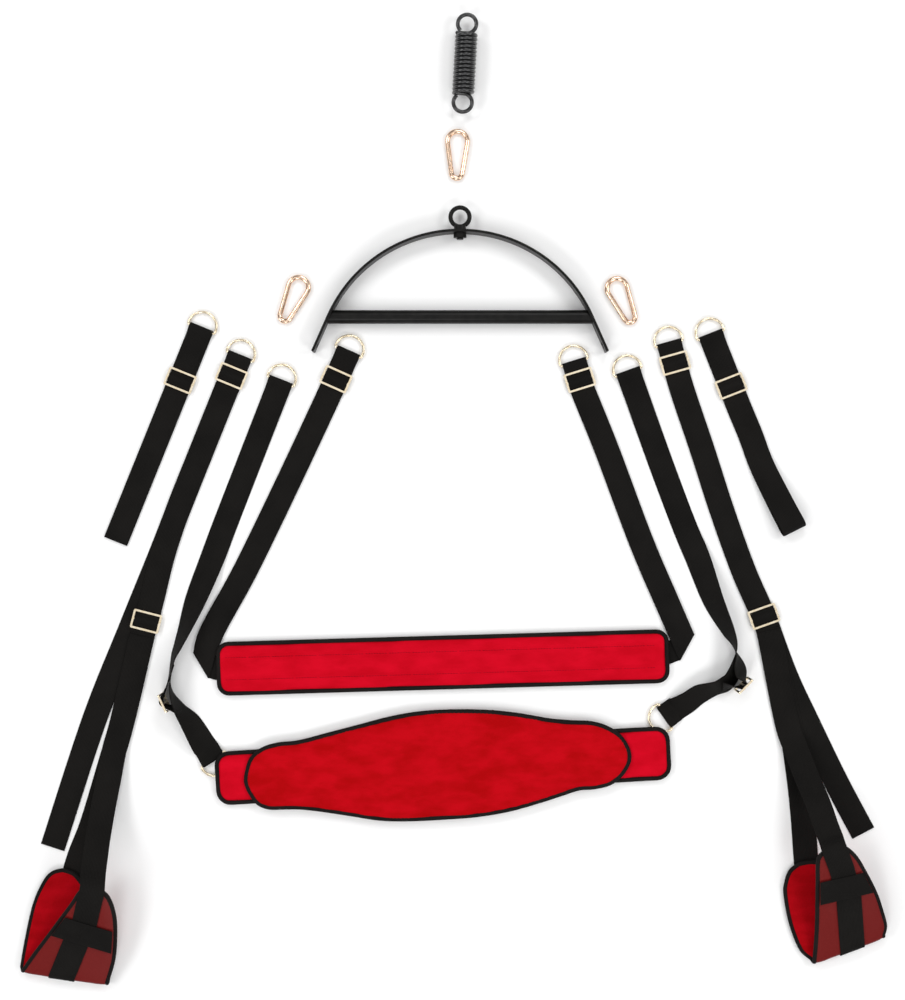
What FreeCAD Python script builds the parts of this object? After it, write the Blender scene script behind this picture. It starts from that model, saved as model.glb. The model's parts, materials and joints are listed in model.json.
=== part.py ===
import FreeCAD, Part
import Sketcher
import os
from math import atan2, cos, degrees, hypot, radians, sin, sqrt

# Suspension swing harness kit, laid out flat on the surface that it rests on.
# Millimetres, +Z up, the surface is z = 0, +Y runs from the cuffs to the ceiling spring.
# The steel spreader carries the strap set; the spring and three snap hooks hang it up.

V = FreeCAD.Vector
X_AXIS, Y_AXIS, Z_AXIS = V(1, 0, 0), V(0, 1, 0), V(0, 0, 1)

doc = FreeCAD.newDocument("harness_kit")

# ---------------------------------------------------------------- driving dimensions
DIMENSIONS = {
    "bar_thick": 4.0,          # spreader arch: flat steel on its edge
    "bar_width": 29.0,
    "arch_radius": 222.0,      # outside of the bent bar
    "arch_swing": 66.0,        # degrees of bend on each side of the top
    "leg_length": 59.0,        # straight end of the bar
    "tip_hole_dia": 10.0,
    "tip_hole_inset": 12.0,
    "crossbar_dia": 21.0,
    "eye_wire": 6.7,
    "eye_outer": 35.7,
    "eye_rise": 20.1,          # middle of the eye, above the top of the arch
    "shank_dia": 10.0,
    "collar_dia": 18.6,
    "collar_tall": 7.0,
    "nut_corner": 19.6,
    "nut_tall": 7.5,
    "swivel_gap": 0.05,
    "spring_wire": 6.0,
    "spring_outer": 34.5,
    "spring_pitch": 6.14,
    "spring_turns": 13.0,
    "spring_end_step": 6.1,    # from an end loop's bar to the first turn of the coil
    "hook_wire": 8.0,
    "hook_long": 80.0,
    "hook_wide": 39.0,
    "hook_narrow": 25.0,
    "gate_long": 28.0,
    "gate_gap": 0.5,
    "pin_dia": 2.4,
    "webbing": 38.0,
    "webbing_thick": 1.6,
    "fold_thick": 3.3,         # two layers of webbing
    "ring_wire": 4.0,
    "ring_inside": 40.0,
    "ring_side": 4.0,
    "eyelet_radius": 3.9,
    "slide_long": 44.5,
    "slide_tall": 29.5,
    "slide_wire": 3.0,
    "slide_lift": 3.6,
    "band_tall": 83.0,
    "band_long": 696.0,
    "band_thick": 8.0,
    "band_lift": 1.9,
    "band_corner": 19.0,
    "wing_thick": 9.0,
    "wing_corner": 22.0,
    "cushion_thick": 13.0,
    "cushion_lift": 11.2,
    "cuff_thick": 8.0,
    "cuff_open": 28.0,         # degrees between the two flanks of a cuff
}

sheet = doc.addObject("Spreadsheet::Sheet", "dims")
for row, (alias, value) in enumerate(DIMENSIONS.items(), start=1):
    sheet.set(f"A{row}", str(value))
    sheet.setAlias(f"A{row}", alias)
doc.recompute()


def dim(alias):
    return float(sheet.get(alias))


nodes = {}


def keep(feature, name):
    """Registers a feature as the sub-part that is written to parts/name.step."""
    feature.Label = name
    nodes[name] = feature
    return feature


# ---------------------------------------------------------------- small helpers
def origin_plane(body, role):
    return next(f for f in body.Origin.OriginFeatures if f.Role == role)


def sketch_on(body, role, name):
    sketch = body.newObject("Sketcher::SketchObject", name)
    sketch.AttachmentSupport = [(origin_plane(body, role), "")]
    sketch.MapMode = "FlatFace"
    return sketch


def bound_circle(sketch, centre, expression):
    """A circle whose radius follows an expression of the sheet."""
    index = sketch.addGeometry(Part.Circle(centre, Z_AXIS, 1.0), False)
    rule = sketch.addConstraint(Sketcher.Constraint("Radius", index, 1.0))
    sketch.setExpression(f"Constraints[{rule}]", expression)


def line(a, b):
    return Part.LineSegment(V(a[0], a[1], 0), V(b[0], b[1], 0))


def arc(centre, radius, start, end):
    """An arc in a sketch, counterclockwise from start to end, in degrees."""
    circle = Part.Circle(V(centre[0], centre[1], 0), Z_AXIS, radius)
    return Part.ArcOfCircle(circle, radians(start), radians(end))


def smooth(points):
    """A curve through points, in a sketch."""
    curve = Part.BSplineCurve()
    curve.interpolate([V(x, y, 0) for x, y in points])
    return curve


def padded_outline(name, geometry, expression):
    """A PartDesign body: a closed outline on the XY plane, padded by an expression."""
    body = doc.addObject("PartDesign::Body", name)
    sketch = sketch_on(body, "XY_Plane", name + "_outline")
    for piece in geometry:
        sketch.addGeometry(piece, False)
    pad = body.newObject("PartDesign::Pad", name + "_pad")
    pad.Profile = sketch
    pad.setExpression("Length", expression)
    return body


def bent_wire(name, path, expression, plane="YZ_Plane"):
    """A PartDesign body: a round wire along a path in the XY plane that starts at 0, 0."""
    body = doc.addObject("PartDesign::Body", name)
    spine = sketch_on(body, "XY_Plane", name + "_path")
    for piece in path:
        spine.addGeometry(piece, False)
    section = sketch_on(body, plane, name + "_section")
    bound_circle(section, V(0, 0, 0), expression)
    pipe = body.newObject("PartDesign::AdditivePipe", name + "_pipe")
    pipe.Profile = section
    pipe.Spine = spine
    return body


def cylinder(name, radius, height, placement):
    """A Part cylinder; radius and height are expressions of the sheet."""
    feature = doc.addObject("Part::Cylinder", name)
    feature.setExpression("Radius", radius)
    feature.setExpression("Height", height)
    feature.Placement = placement
    return feature


def box(name, size, placement):
    feature = doc.addObject("Part::Box", name)
    feature.Length, feature.Width, feature.Height = size
    feature.Placement = placement
    return feature


def fuse(name, *features):
    joined = doc.addObject("Part::MultiFuse", name)
    joined.Shapes = list(features)
    return joined


def cut(name, base, tool):
    result = doc.addObject("Part::Cut", name)
    result.Base = base
    result.Tool = tool
    return result


def turned(x, y, z, angle):
    """A place in the layout, turned about +Z by an angle in degrees."""
    return FreeCAD.Placement(V(x, y, z), FreeCAD.Rotation(Z_AXIS, angle))


def heading(a, b):
    """The angle of the way from a to b, in degrees from +X."""
    return degrees(atan2(b[1] - a[1], b[0] - a[0]))


def walk(point, angle, distance):
    """The point at a distance from another, along an angle."""
    return point[0] + distance * cos(radians(angle)), point[1] + distance * sin(radians(angle))


# ---------------------------------------------------------------- spreader
ARCH_CENTRE = (10.0, 189.0)


def arch_outline(inset):
    """The outline of the region inside the arch, inset from its outside face."""
    radius = dim("arch_radius") - inset
    swing = dim("arch_swing")
    right = walk(ARCH_CENTRE, 90 - swing, radius)
    left = walk(ARCH_CENTRE, 90 + swing, radius)
    right_tip = walk(right, -swing, dim("leg_length"))
    left_tip = walk(left, 180 + swing, dim("leg_length"))
    return right, left, right_tip, left_tip


def arch_geometry():
    outer = arch_outline(0)
    inner = arch_outline(dim("bar_thick"))
    swing = dim("arch_swing")
    return [
        arc(ARCH_CENTRE, dim("arch_radius"), 90 - swing, 90 + swing),
        line(outer[1], outer[3]),
        line(outer[3], inner[3]),
        line(inner[3], inner[1]),
        arc(ARCH_CENTRE, dim("arch_radius") - dim("bar_thick"), 90 - swing, 90 + swing),
        line(inner[0], inner[2]),
        line(inner[2], outer[2]),
        line(outer[2], outer[0]),
    ]


def inside_geometry():
    inner = arch_outline(dim("bar_thick"))
    swing = dim("arch_swing")
    return [
        arc(ARCH_CENTRE, dim("arch_radius") - dim("bar_thick"), 90 - swing, 90 + swing),
        line(inner[1], inner[3]),
        line(inner[3], inner[2]),
        line(inner[2], inner[0]),
    ]


DRILL_LONG = 40.0
CROSSBAR_DROP = 1.3         # crossbar below the ends of the bend
ROD_HALF = 230.0            # the crossbar's stock, before its ends are mitred


def make_spreader():
    swing = dim("arch_swing")
    middle = dim("bar_width") / 2
    arch = padded_outline("arch_bar", arch_geometry(), "dims.bar_width")
    apex = V(ARCH_CENTRE[0], ARCH_CENTRE[1] + dim("arch_radius") - DRILL_LONG / 2, middle)
    upright = FreeCAD.Rotation(Z_AXIS, Y_AXIS)
    tools = [
        cylinder(
            "shank_way", "dims.shank_dia / 2 + dims.swivel_gap", f"{DRILL_LONG} mm",
            FreeCAD.Placement(apex, upright),
        )
    ]
    outer = arch_outline(0)
    for side, tip, lean in (("right", outer[2], -swing), ("left", outer[3], 180 + swing)):
        centre = walk(tip, lean + 180, dim("tip_hole_inset"))
        out = lean + 90 if side == "right" else lean - 90
        start = walk(centre, out, -DRILL_LONG / 2)
        way = V(cos(radians(out)), sin(radians(out)), 0)
        place = FreeCAD.Placement(V(start[0], start[1], middle), FreeCAD.Rotation(Z_AXIS, way))
        tools.append(
            cylinder(side + "_tip_way", "dims.tip_hole_dia / 2", f"{DRILL_LONG} mm", place)
        )
    keep(cut("drilled_arch", arch, fuse("arch_holes", *tools)), "spreader_arch")

    inside = padded_outline("arch_inside", inside_geometry(), "dims.bar_width")
    bar_y = ARCH_CENTRE[1] + dim("arch_radius") * cos(radians(swing)) - CROSSBAR_DROP
    level = FreeCAD.Placement(
        V(ARCH_CENTRE[0] - ROD_HALF, bar_y, middle), FreeCAD.Rotation(Z_AXIS, X_AXIS)
    )
    rod = cylinder("crossbar_rod", "dims.crossbar_dia / 2", f"{2 * ROD_HALF} mm", level)
    crossbar = doc.addObject("Part::Common", "mitred_crossbar")
    crossbar.Base = rod
    crossbar.Tool = inside
    keep(crossbar, "spreader_crossbar")


FACE_GAP = 0.15             # between the eye's collar and the arch
NUT_GAP = 0.4
SHANK_END = 3.0             # shank that shows below the nut


def make_eye():
    middle = dim("bar_width") / 2
    top = ARCH_CENTRE[1] + dim("arch_radius")
    upright = FreeCAD.Rotation(Z_AXIS, Y_AXIS)
    ring = doc.addObject("Part::Torus", "eye_ring")
    ring.setExpression("Radius1", "(dims.eye_outer - dims.eye_wire) / 2")
    ring.setExpression("Radius2", "dims.eye_wire / 2")
    ring.Placement = turned(ARCH_CENTRE[0], top + dim("eye_rise"), middle, 0)
    collar = cylinder(
        "eye_collar", "dims.collar_dia / 2", "dims.collar_tall",
        FreeCAD.Placement(V(ARCH_CENTRE[0], top + FACE_GAP, middle), upright),
    )
    shank_foot = top - dim("bar_thick") - dim("nut_tall") - SHANK_END
    shank = cylinder(
        "eye_shank", "dims.shank_dia / 2",
        "dims.bar_thick + dims.nut_tall + dims.collar_tall",
        FreeCAD.Placement(V(ARCH_CENTRE[0], shank_foot, middle), upright),
    )
    keep(fuse("forged_eye", ring, collar, shank), "eye_bolt")

    blank = doc.addObject("Part::Prism", "nut_blank")
    blank.Polygon = 6
    blank.setExpression("Circumradius", "dims.nut_corner / 2")
    blank.setExpression("Height", "dims.nut_tall")
    foot = top - dim("bar_thick") - NUT_GAP - dim("nut_tall")
    blank.Placement = FreeCAD.Placement(V(ARCH_CENTRE[0], foot, middle), upright)
    thread = cylinder(
        "nut_thread", "dims.shank_dia / 2", "dims.nut_tall * 2",
        FreeCAD.Placement(V(ARCH_CENTRE[0], foot - SHANK_END, middle), upright),
    )
    keep(cut("tapped_nut", blank, thread), "eye_lock_nut")


# ---------------------------------------------------------------- ceiling spring
SPRING_FOOT = (14.8, 618.4)
SPRING_LEAN = 86.8          # angle of the spring's axis from +X
SPRING_START = 1.5          # the bar of the lower end loop, along the axis
LOOP_CLOSE = 228            # degrees where the circle of an end loop stops, short of its own bar


def spring_place(along, across, turn):
    """A place on the spring's axis: along it, beside it, and turned in the layout."""
    x, y = walk(SPRING_FOOT, SPRING_LEAN, along)
    x, y = walk((x, y), SPRING_LEAN - 90, across)
    return turned(x, y, dim("spring_outer") / 2, SPRING_LEAN + turn)


def make_loop(name, place):
    """An end loop: a bar from the rim of the coil to its middle, then most of a circle."""
    mean = (dim("spring_outer") - dim("spring_wire")) / 2
    path = [line((0, 0), (mean, 0)), arc((mean, mean), mean, -90, LOOP_CLOSE)]
    loop = bent_wire(name + "_wire", path, "dims.spring_wire / 2")
    loop.Placement = place
    keep(loop, name)


def make_spring():
    mean = (dim("spring_outer") - dim("spring_wire")) / 2
    helix = doc.addObject("Part::Helix", "coil_line")
    helix.setExpression("Radius", "(dims.spring_outer - dims.spring_wire) / 2")
    helix.setExpression("Height", "dims.spring_pitch * dims.spring_turns")
    helix.setExpression("Pitch", "dims.spring_pitch")
    section = doc.addObject("Part::Circle", "coil_section")
    section.setExpression("Radius", "dims.spring_wire / 2")
    section.Placement = FreeCAD.Placement(V(mean, 0, 0), FreeCAD.Rotation(X_AXIS, 90))
    coil = doc.addObject("Part::Sweep", "coil")
    coil.Sections = [section]
    coil.Spine = (helix, ["Edge1"])
    coil.Solid = True
    coil.Frenet = True
    coil_start = SPRING_START + dim("spring_end_step")
    foot_x, foot_y = walk(SPRING_FOOT, SPRING_LEAN, coil_start)
    way = V(cos(radians(SPRING_LEAN)), sin(radians(SPRING_LEAN)), 0)
    side = V(-sin(radians(SPRING_LEAN)), cos(radians(SPRING_LEAN)), 0)
    turn = FreeCAD.Rotation(side, V(0, 0, 1), way, "ZXY")
    coil.Placement = FreeCAD.Placement(V(foot_x, foot_y, dim("spring_outer") / 2), turn)
    keep(coil, "spring_coil")

    coil_end = coil_start + dim("spring_pitch") * dim("spring_turns")
    top = coil_end + dim("spring_end_step")
    make_loop("spring_top_loop", spring_place(top, -mean, -90))
    lower = spring_place(SPRING_START, -mean, -90)
    flip = FreeCAD.Placement(V(0, 0, 0), FreeCAD.Rotation(X_AXIS, 180))
    make_loop("spring_bottom_loop", lower.multiply(flip))


# ---------------------------------------------------------------- snap hooks
# Each hook: middle of the narrow end, angle of its long axis, and whether it lies flipped.
HOOKS = {
    "top_hook": ((5.2, 501.0), 88.8, False),
    "left_hook": ((-258.5, 281.0), 65.4, True),
    "right_hook": ((271.0, 279.0), 113.9, False),
}
HINGE_RISE = 10.0           # gate hinge end, past the middle of the narrow end
PIN_RISE = 4.0              # rivet, past the hinge end
PIN_SINK = 0.3              # rivet's ends, below the wire's surface
TONGUE = (5.0, 9.0, 3.0)    # flat tongue of the frame, between the gate's two cheeks
TONGUE_START = -2.0
SLOT = (12.0, 12.0, 3.4)    # slot of the gate around the tongue
SLOT_START = -3.5
CHEEK_REACH = 3.6           # from the rivet's axis to the cut corners of the gate's cheeks


def hook_shape():
    """Radii of the two ends on the wire's middle, and their spacing along the gate side."""
    wide = (dim("hook_wide") - dim("hook_wire")) / 2
    narrow = (dim("hook_narrow") - dim("hook_wire")) / 2
    spacing = dim("hook_long") - dim("hook_wide") / 2 - dim("hook_narrow") / 2
    rise = sqrt(spacing ** 2 - (wide - narrow) ** 2)
    return wide, narrow, rise


def hook_place(name):
    """The hook's own frame has the gate side on the Y axis, starting at the gate's hinge."""
    wide, narrow, rise = hook_shape()
    (x, y), axis_angle, flipped = HOOKS[name]
    lean = degrees(atan2(wide - narrow, rise))
    to_narrow = FreeCAD.Placement(V(-narrow, HINGE_RISE, 0), FreeCAD.Rotation())
    flip = FreeCAD.Placement(V(0, 0, 0), FreeCAD.Rotation(Y_AXIS, 180 if flipped else 0))
    square = FreeCAD.Placement(V(0, 0, 0), FreeCAD.Rotation(Z_AXIS, lean))
    place = turned(x, y, dim("hook_wire") / 2, axis_angle - 90)
    return place.multiply(flip).multiply(square).multiply(to_narrow)


def make_hook(name):
    wide, narrow, rise = hook_shape()
    nose = dim("gate_long")
    low = (narrow, -HINGE_RISE)
    high = (wide, rise - HINGE_RISE)
    lean = degrees(atan2(wide - narrow, rise))
    far_low = walk(low, -2 * lean, narrow)
    far_high = walk(high, -2 * lean, wide)
    path = [
        line((0, 0), (0, low[1])),
        arc(low, narrow, 180, 360 - 2 * lean),
        line(far_low, far_high),
        arc(high, wide, -2 * lean, 180),
        line((0, high[1]), (0, nose)),
    ]
    place = hook_place(name)
    frame = bent_wire(name + "_wire", path, "dims.hook_wire / 2", "XZ_Plane")
    frame.Placement = place

    tongue_corner = turned(-TONGUE[0] / 2, TONGUE_START, -TONGUE[2] / 2, 0)
    tongue = box(name + "_tongue", TONGUE, place.multiply(tongue_corner))
    pin_hole = cylinder(
        name + "_pin_hole", "dims.pin_dia / 2", "2 * dims.hook_wire",
        place.multiply(turned(0, PIN_RISE, -dim("hook_wire"), 0)),
    )
    keep(cut(name + "_drilled", fuse(name + "_bent", frame, tongue), pin_hole), name + "_frame")

    length = "dims.gate_long - 2 * dims.gate_gap"
    along = FreeCAD.Rotation(Z_AXIS, Y_AXIS)
    rod = cylinder(
        name + "_gate_rod", "dims.hook_wire / 2", length,
        place.multiply(FreeCAD.Placement(V(0, dim("gate_gap"), 0), along)),
    )
    slot_corner = turned(-SLOT[0] / 2, SLOT_START, -SLOT[2] / 2, 0)
    slot = box(name + "_gate_slot", SLOT, place.multiply(slot_corner))
    gate_hole = cylinder(
        name + "_gate_hole", "dims.pin_dia / 2 + dims.swivel_gap", "2 * dims.hook_wire",
        place.multiply(turned(0, PIN_RISE, -dim("hook_wire"), 0)),
    )
    # The cheeks lose their corners, so that they clear the frame as the gate turns.
    corners = []
    for k, angle in enumerate((-45, -135)):
        hinge = place.multiply(turned(0, PIN_RISE, -SLOT[1] / 2, angle))
        corner = hinge.multiply(turned(CHEEK_REACH, -SLOT[1] / 2, 0, 0))
        corners.append(box(f"{name}_gate_corner{k}", (SLOT[1],) * 3, corner))
    cuts = fuse(name + "_gate_cuts", slot, gate_hole, *corners)
    keep(cut(name + "_slotted", rod, cuts), name + "_gate")
    pin = cylinder(
        name + "_rivet", "dims.pin_dia / 2", f"{dim('hook_wire') - 2 * PIN_SINK} mm",
        place.multiply(turned(0, PIN_RISE, PIN_SINK - dim("hook_wire") / 2, 0)),
    )
    keep(pin, name + "_pin")


# ---------------------------------------------------------------- rings and slides
RING_CORNER = 3.0
SLIDE_CORNER = 2.5
WINDOW_CORNER = 0.8


def make_ring(name, place):
    """A D ring, its straight bar along X through 0, 0 and its bow towards +Y."""
    half = (dim("ring_inside") + dim("ring_wire")) / 2
    side = dim("ring_side")
    corner = RING_CORNER
    path = [
        line((0, 0), (half - corner, 0)),
        arc((half - corner, corner), corner, -90, 0),
        line((half, corner), (half, side)),
        arc((0, side), half, 0, 180),
        line((-half, side), (-half, corner)),
        arc((corner - half, corner), corner, 180, 270),
        line((corner - half, 0), (0, 0)),
    ]
    ring = bent_wire(name + "_wire", path, "dims.ring_wire / 2")
    ring.Placement = place
    keep(ring, name)


def rounded_rectangle(long, tall, corner, centre=(0, 0)):
    """The eight edges of a rectangle with round corners."""
    x, y = long / 2, tall / 2
    cx, cy = centre
    edges = []
    for sx, sy, start in ((1, 1, 0), (-1, 1, 90), (-1, -1, 180), (1, -1, 270)):
        edges.append(arc((cx + sx * (x - corner), cy + sy * (y - corner)), corner,
                         start, start + 90))
    edges.append(line((cx - x + corner, cy + y), (cx + x - corner, cy + y)))
    edges.append(line((cx - x, cy - y + corner), (cx - x, cy + y - corner)))
    edges.append(line((cx - x + corner, cy - y), (cx + x - corner, cy - y)))
    edges.append(line((cx + x, cy - y + corner), (cx + x, cy + y - corner)))
    return edges


def make_slide(name, place):
    """A three-bar webbing slide: a rectangular wire frame with a bar across its middle."""
    long, tall, wire = dim("slide_long"), dim("slide_tall"), dim("slide_wire")
    window = (tall - 3 * wire) / 2
    outline = rounded_rectangle(long, tall, SLIDE_CORNER)
    for side in (1, -1):
        centre = (0, side * (wire + window) / 2)
        outline += rounded_rectangle(long - 2 * wire, window, WINDOW_CORNER, centre)
    slide = padded_outline(name + "_frame", outline, "dims.slide_wire")
    slide.Placement = place
    keep(slide, name)


# ---------------------------------------------------------------- flat straps
def offset_points(route, distance):
    """The route's points moved sideways, to the left of the way it runs."""
    moved = []
    for i, point in enumerate(route):
        before = route[max(0, i - 1)]
        after = route[min(len(route) - 1, i + 1)]
        moved.append(walk(point, heading(before, after) + 90, distance))
    return moved


def strap_outline(route, width):
    left = offset_points(route, width / 2)
    right = offset_points(route, -width / 2)
    if len(route) == 2:
        edges = [line(left[0], left[1]), line(right[0], right[1])]
    else:
        edges = [smooth(left), smooth(right)]
    return edges + [line(left[0], right[0]), line(left[-1], right[-1])]


def flat_strap(name, route, expression, lift=0.0):
    strap = padded_outline(name, strap_outline(route, dim("webbing")), expression)
    strap.Placement = turned(0, 0, lift, 0)
    return strap


def bar_rotation(angle):
    """Turns +Z to lie across a strap that runs at an angle."""
    across = V(-sin(radians(angle)), cos(radians(angle)), 0)
    return FreeCAD.Rotation(Z_AXIS, across)


def past_bar(route):
    """The route with its first point moved on, to the outside of the eyelet."""
    angle = heading(route[0], route[1])
    start = walk(route[0], angle, dim("eyelet_radius") + 0.05)
    return [start + tuple(route[0][2:])] + list(route[1:])


def with_eyelets(name, solids, ends):
    """Straps grouped with the folded eyelets that hold ring bars at their ends."""
    sleeves = []
    for i, (point, angle) in enumerate(ends):
        turn = bar_rotation(angle)
        half = walk(point, angle - 90, dim("webbing") / 2)
        outside = cylinder(
            f"{name}_sleeve{i}", "dims.eyelet_radius", "dims.webbing",
            FreeCAD.Placement(V(half[0], half[1], dim("eyelet_radius")), turn))
        start = walk(point, angle - 90, dim("webbing") / 2 + 5)
        way = cylinder(
            f"{name}_way{i}", "dims.ring_wire / 2 + dims.swivel_gap", "dims.webbing + 10",
            FreeCAD.Placement(V(start[0], start[1], dim("eyelet_radius")), turn))
        sleeves.append(cut(f"{name}_eyelet{i}", outside, way))
    group = doc.addObject("Part::Compound", name + "_sewn")
    group.Links = list(solids) + sleeves
    return group


def ring_at(name, route):
    """The ring on the first end of a strap; its bow points away from the strap."""
    angle = heading(route[0], route[1])
    make_ring(name, turned(route[0][0], route[0][1], dim("eyelet_radius"), angle + 90))


def slide_at(name, centre, angle):
    make_slide(name, turned(centre[0], centre[1], dim("slide_lift"), angle + 90))


# Middle lines of the webbing, from the ring's bar outwards.
LEFT_HAND = [(-388, 261), (-520, -66)]
RIGHT_HAND = [(396, 251), (420, 190), (438, 144), (457, 98), (474, 52)]
RIGHT_HAND_LOOP = 116.0     # length of the open loop at the end
LOOP_BEND = 12.0            # outside radius of its far bend
LOOP_LAP = 2.0              # how far it runs back over the strap
LOOP_MOUTH = 12.0           # where its two layers part
LEFT_LEG = [(-329, 218), (-350, 167), (-387, 75), (-424, -18), (-447, -87), (-464, -156),
            (-476, -203)]
LEFT_TAIL = [(-329, 218), (-350, 167), (-387, 75), (-424, -18), (-451, -87), (-498, -203),
             (-553, -341), (-617, -537)]
RIGHT_LEG = [(332, 238), (352, 167), (383, 75), (413, -18), (446, -110), (477, -181), (482, -195)]
RIGHT_TAIL = [(332, 238), (352, 167), (383, 75), (413, -18), (446, -110), (477, -181),
              (511, -272), (543, -341), (588, -434), (631, -515)]
LEFT_SEAT = [(-162, 225), (-188, 167), (-253, 28), (-320, -110), (-372, -206), (-402, -262)]
RIGHT_SEAT = [(186, 209), (199, 167), (236, 75), (288, -64), (327, -156), (364, -232)]
# How far each slide's middle is from the ring's bar.
SLIDE_STEPS = {"left_hand": 85.7, "left_leg": 32.0, "left_seat": 45.6,
               "right_seat": 28.0, "right_leg": 31.0, "right_hand": 83.8}


def upper_slide(side, use, route):
    """The slide of a strap, on the double webbing under its ring."""
    name = f"{side}_{use}"
    left = SLIDE_STEPS[name]
    for a, b in zip(route, route[1:]):
        step = hypot(b[0] - a[0], b[1] - a[1])
        if left <= step:
            angle = heading(a, b)
            slide_at(name + "_slide", walk(a, angle, left), angle)
            return
        left -= step


def make_hand_straps():
    for side, route in (("left", LEFT_HAND), ("right", RIGHT_HAND)):
        name = side + "_hand"
        layers = [flat_strap(name + "_web", past_bar(route), "dims.fold_thick")]
        if side == "right":
            loop = open_loop(name + "_loop", route[-1], heading(route[-1], (524, -53)))
            layers = [fuse(name + "_layers", layers[0], loop)]
        start = (route[0], heading(route[0], route[1]))
        keep(with_eyelets(name, layers, [start]), name + "_strap")
        ring_at(name + "_ring", route)
        upper_slide(side, "hand", route)


def open_loop(name, start, angle):
    """The end of a hand strap, where the webbing turns over and stands open."""
    thick, bend, length = dim("webbing_thick"), LOOP_BEND, RIGHT_HAND_LOOP
    double = dim("fold_thick")
    body = doc.addObject("PartDesign::Body", name)
    sketch = sketch_on(body, "XZ_Plane", name + "_profile")
    centre = length - bend
    for radius in (bend, bend - thick):
        low = bend - radius
        turn = degrees(atan2(2 * radius, centre)) / 2
        top = walk((centre, bend), 90 + turn, radius)
        foot = -LOOP_LAP if radius == bend else LOOP_MOUTH
        foot_top = (foot, double)
        sketch.addGeometry(line((foot, low), (centre, low)), False)
        sketch.addGeometry(arc((centre, bend), radius, -90, 90 + turn), False)
        sketch.addGeometry(line(top, foot_top), False)
        sketch.addGeometry(line(foot_top, (foot, low)), False)
    pad = body.newObject("PartDesign::Pad", name + "_pad")
    pad.Profile = sketch
    pad.setExpression("Length", "dims.webbing")
    pad.Midplane = True
    body.Placement = turned(start[0], start[1], 0, angle)
    return body


def make_leg_straps():
    for side, route, tail in (("left", LEFT_LEG, LEFT_TAIL), ("right", RIGHT_LEG, RIGHT_TAIL)):
        name = side + "_leg"
        over = dim("fold_thick") - dim("webbing_thick")
        main = flat_strap(name + "_web", past_bar(route), "dims.webbing_thick", over)
        free = flat_strap(name + "_tail", past_bar(tail), "dims.webbing_thick")
        start = (route[0], heading(route[0], route[1]))
        keep(with_eyelets(name, [main, free], [start]), name + "_strap")
        ring_at(name + "_ring", route)
        upper_slide(side, "leg", route)
        angle = heading(route[-2], route[-1])
        centre = walk(route[-1], angle, -dim("slide_tall") / 2)
        slide_at(name + "_adjuster", centre, angle)


def make_seat_straps():
    """Each strap ends on its fold line beside the band, where it turns under the band."""
    for side, route in (("left", LEFT_SEAT), ("right", RIGHT_SEAT)):
        name = side + "_seat"
        strap = flat_strap(name + "_web", past_bar(route), "dims.fold_thick")
        trimmed = cut(name + "_trimmed", strap, fold_trimmer(side))
        start = (route[0], heading(route[0], route[1]))
        lifted = with_eyelets(name, [trimmed], [start])
        keep(lifted, name + "_strap")
        ring_at(name + "_ring", route)
        upper_slide(side, "seat", route)


# Fold lines of the seat straps: outer corner, and the angle of the line.
SEAT_FOLDS = {"left": ((-401, -236), -59.6), "right": ((370, -208), -118.5)}
FOLD_BLOCK = (220.0, 120.0, 20.0)


def fold_trimmer(side):
    """A block on the far side of a seat strap's fold line."""
    corner, angle = SEAT_FOLDS[side]
    long, wide, tall = FOLD_BLOCK
    start = walk(corner, angle, -long / 3)
    if side == "left":
        start = walk(start, angle - 90, wide)
    return box(side + "_fold_block", FOLD_BLOCK, turned(start[0], start[1], -tall / 2, angle))


# ---------------------------------------------------------------- twisted straps
def eased(stations, steps=4):
    """The stations with more between them, along a Catmull-Rom curve."""
    filled = []
    last = len(stations) - 1
    for i in range(last):
        a, b, c, d = (stations[min(max(k, 0), last)] for k in (i - 1, i, i + 1, i + 2))
        for step in range(steps):
            u = step / steps
            filled.append(tuple(
                0.5 * (2 * q + (r - p) * u + (2 * p - 5 * q + 4 * r - w) * u ** 2
                       + (3 * q - p - 3 * r + w) * u ** 3)
                for p, q, r, w in zip(a, b, c, d)))
    return filled + [tuple(stations[-1])]


def ribbon(name, stations, thick):
    """Webbing through stations (x, y, roll), or (x, y, roll, height of its middle)."""
    half = dim("webbing") / 2
    stations = eased(stations)
    sections = []
    for i, station in enumerate(stations):
        before = stations[max(0, i - 1)]
        after = stations[min(len(stations) - 1, i + 1)]
        angle = heading(before, after)
        roll = radians(station[2])
        rest = half * abs(sin(roll)) + thick / 2 * abs(cos(roll))
        height = station[3] if len(station) > 3 else rest
        across = V(-sin(radians(angle)) * cos(roll), cos(radians(angle)) * cos(roll), sin(roll))
        ahead = V(cos(radians(angle)), sin(radians(angle)), 0)
        face = ahead.cross(across) * (thick / 2)
        middle = V(station[0], station[1], height)
        corners = [middle + across * half + face, middle + across * half - face,
                   middle - across * half - face, middle - across * half + face]
        sections.append(Part.makePolygon(corners + corners[:1]))
    feature = doc.addObject("Part::Feature", name)
    feature.Shape = Part.makeLoft(sections, True, True)
    feature.Placement = turned(0, 0, 0, 0)
    return feature


# The back straps run flat from the ring, stand on edge at their slide, and lie down on their
# other face before the ring on the back band. Each station: x, y, roll.
LEFT_BACK = [
    (-266, 180, 0), (-316, 52, 0), (-352, -41, 0), (-371, -92, 4), (-396, -156, 27),
    (-413, -203, 55), (-423, -226, 66), (-431, -249, 78), (-435, -290, 92),
    (-428, -316, 114), (-408, -343, 130), (-387, -374, 160), (-370, -401, 180),
]
RIGHT_BACK = [
    (269, 194, 0), (320, 52, 0), (355, -41, 0), (376, -92, 4), (401, -156, 28),
    (422, -203, 55), (432, -226, 78), (434, -249, 106), (429, -272, 126),
    (412, -290, 140), (387, -296, 144), (367, -308, 152), (346, -322, 160),
    (326, -335, 180),
]
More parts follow.
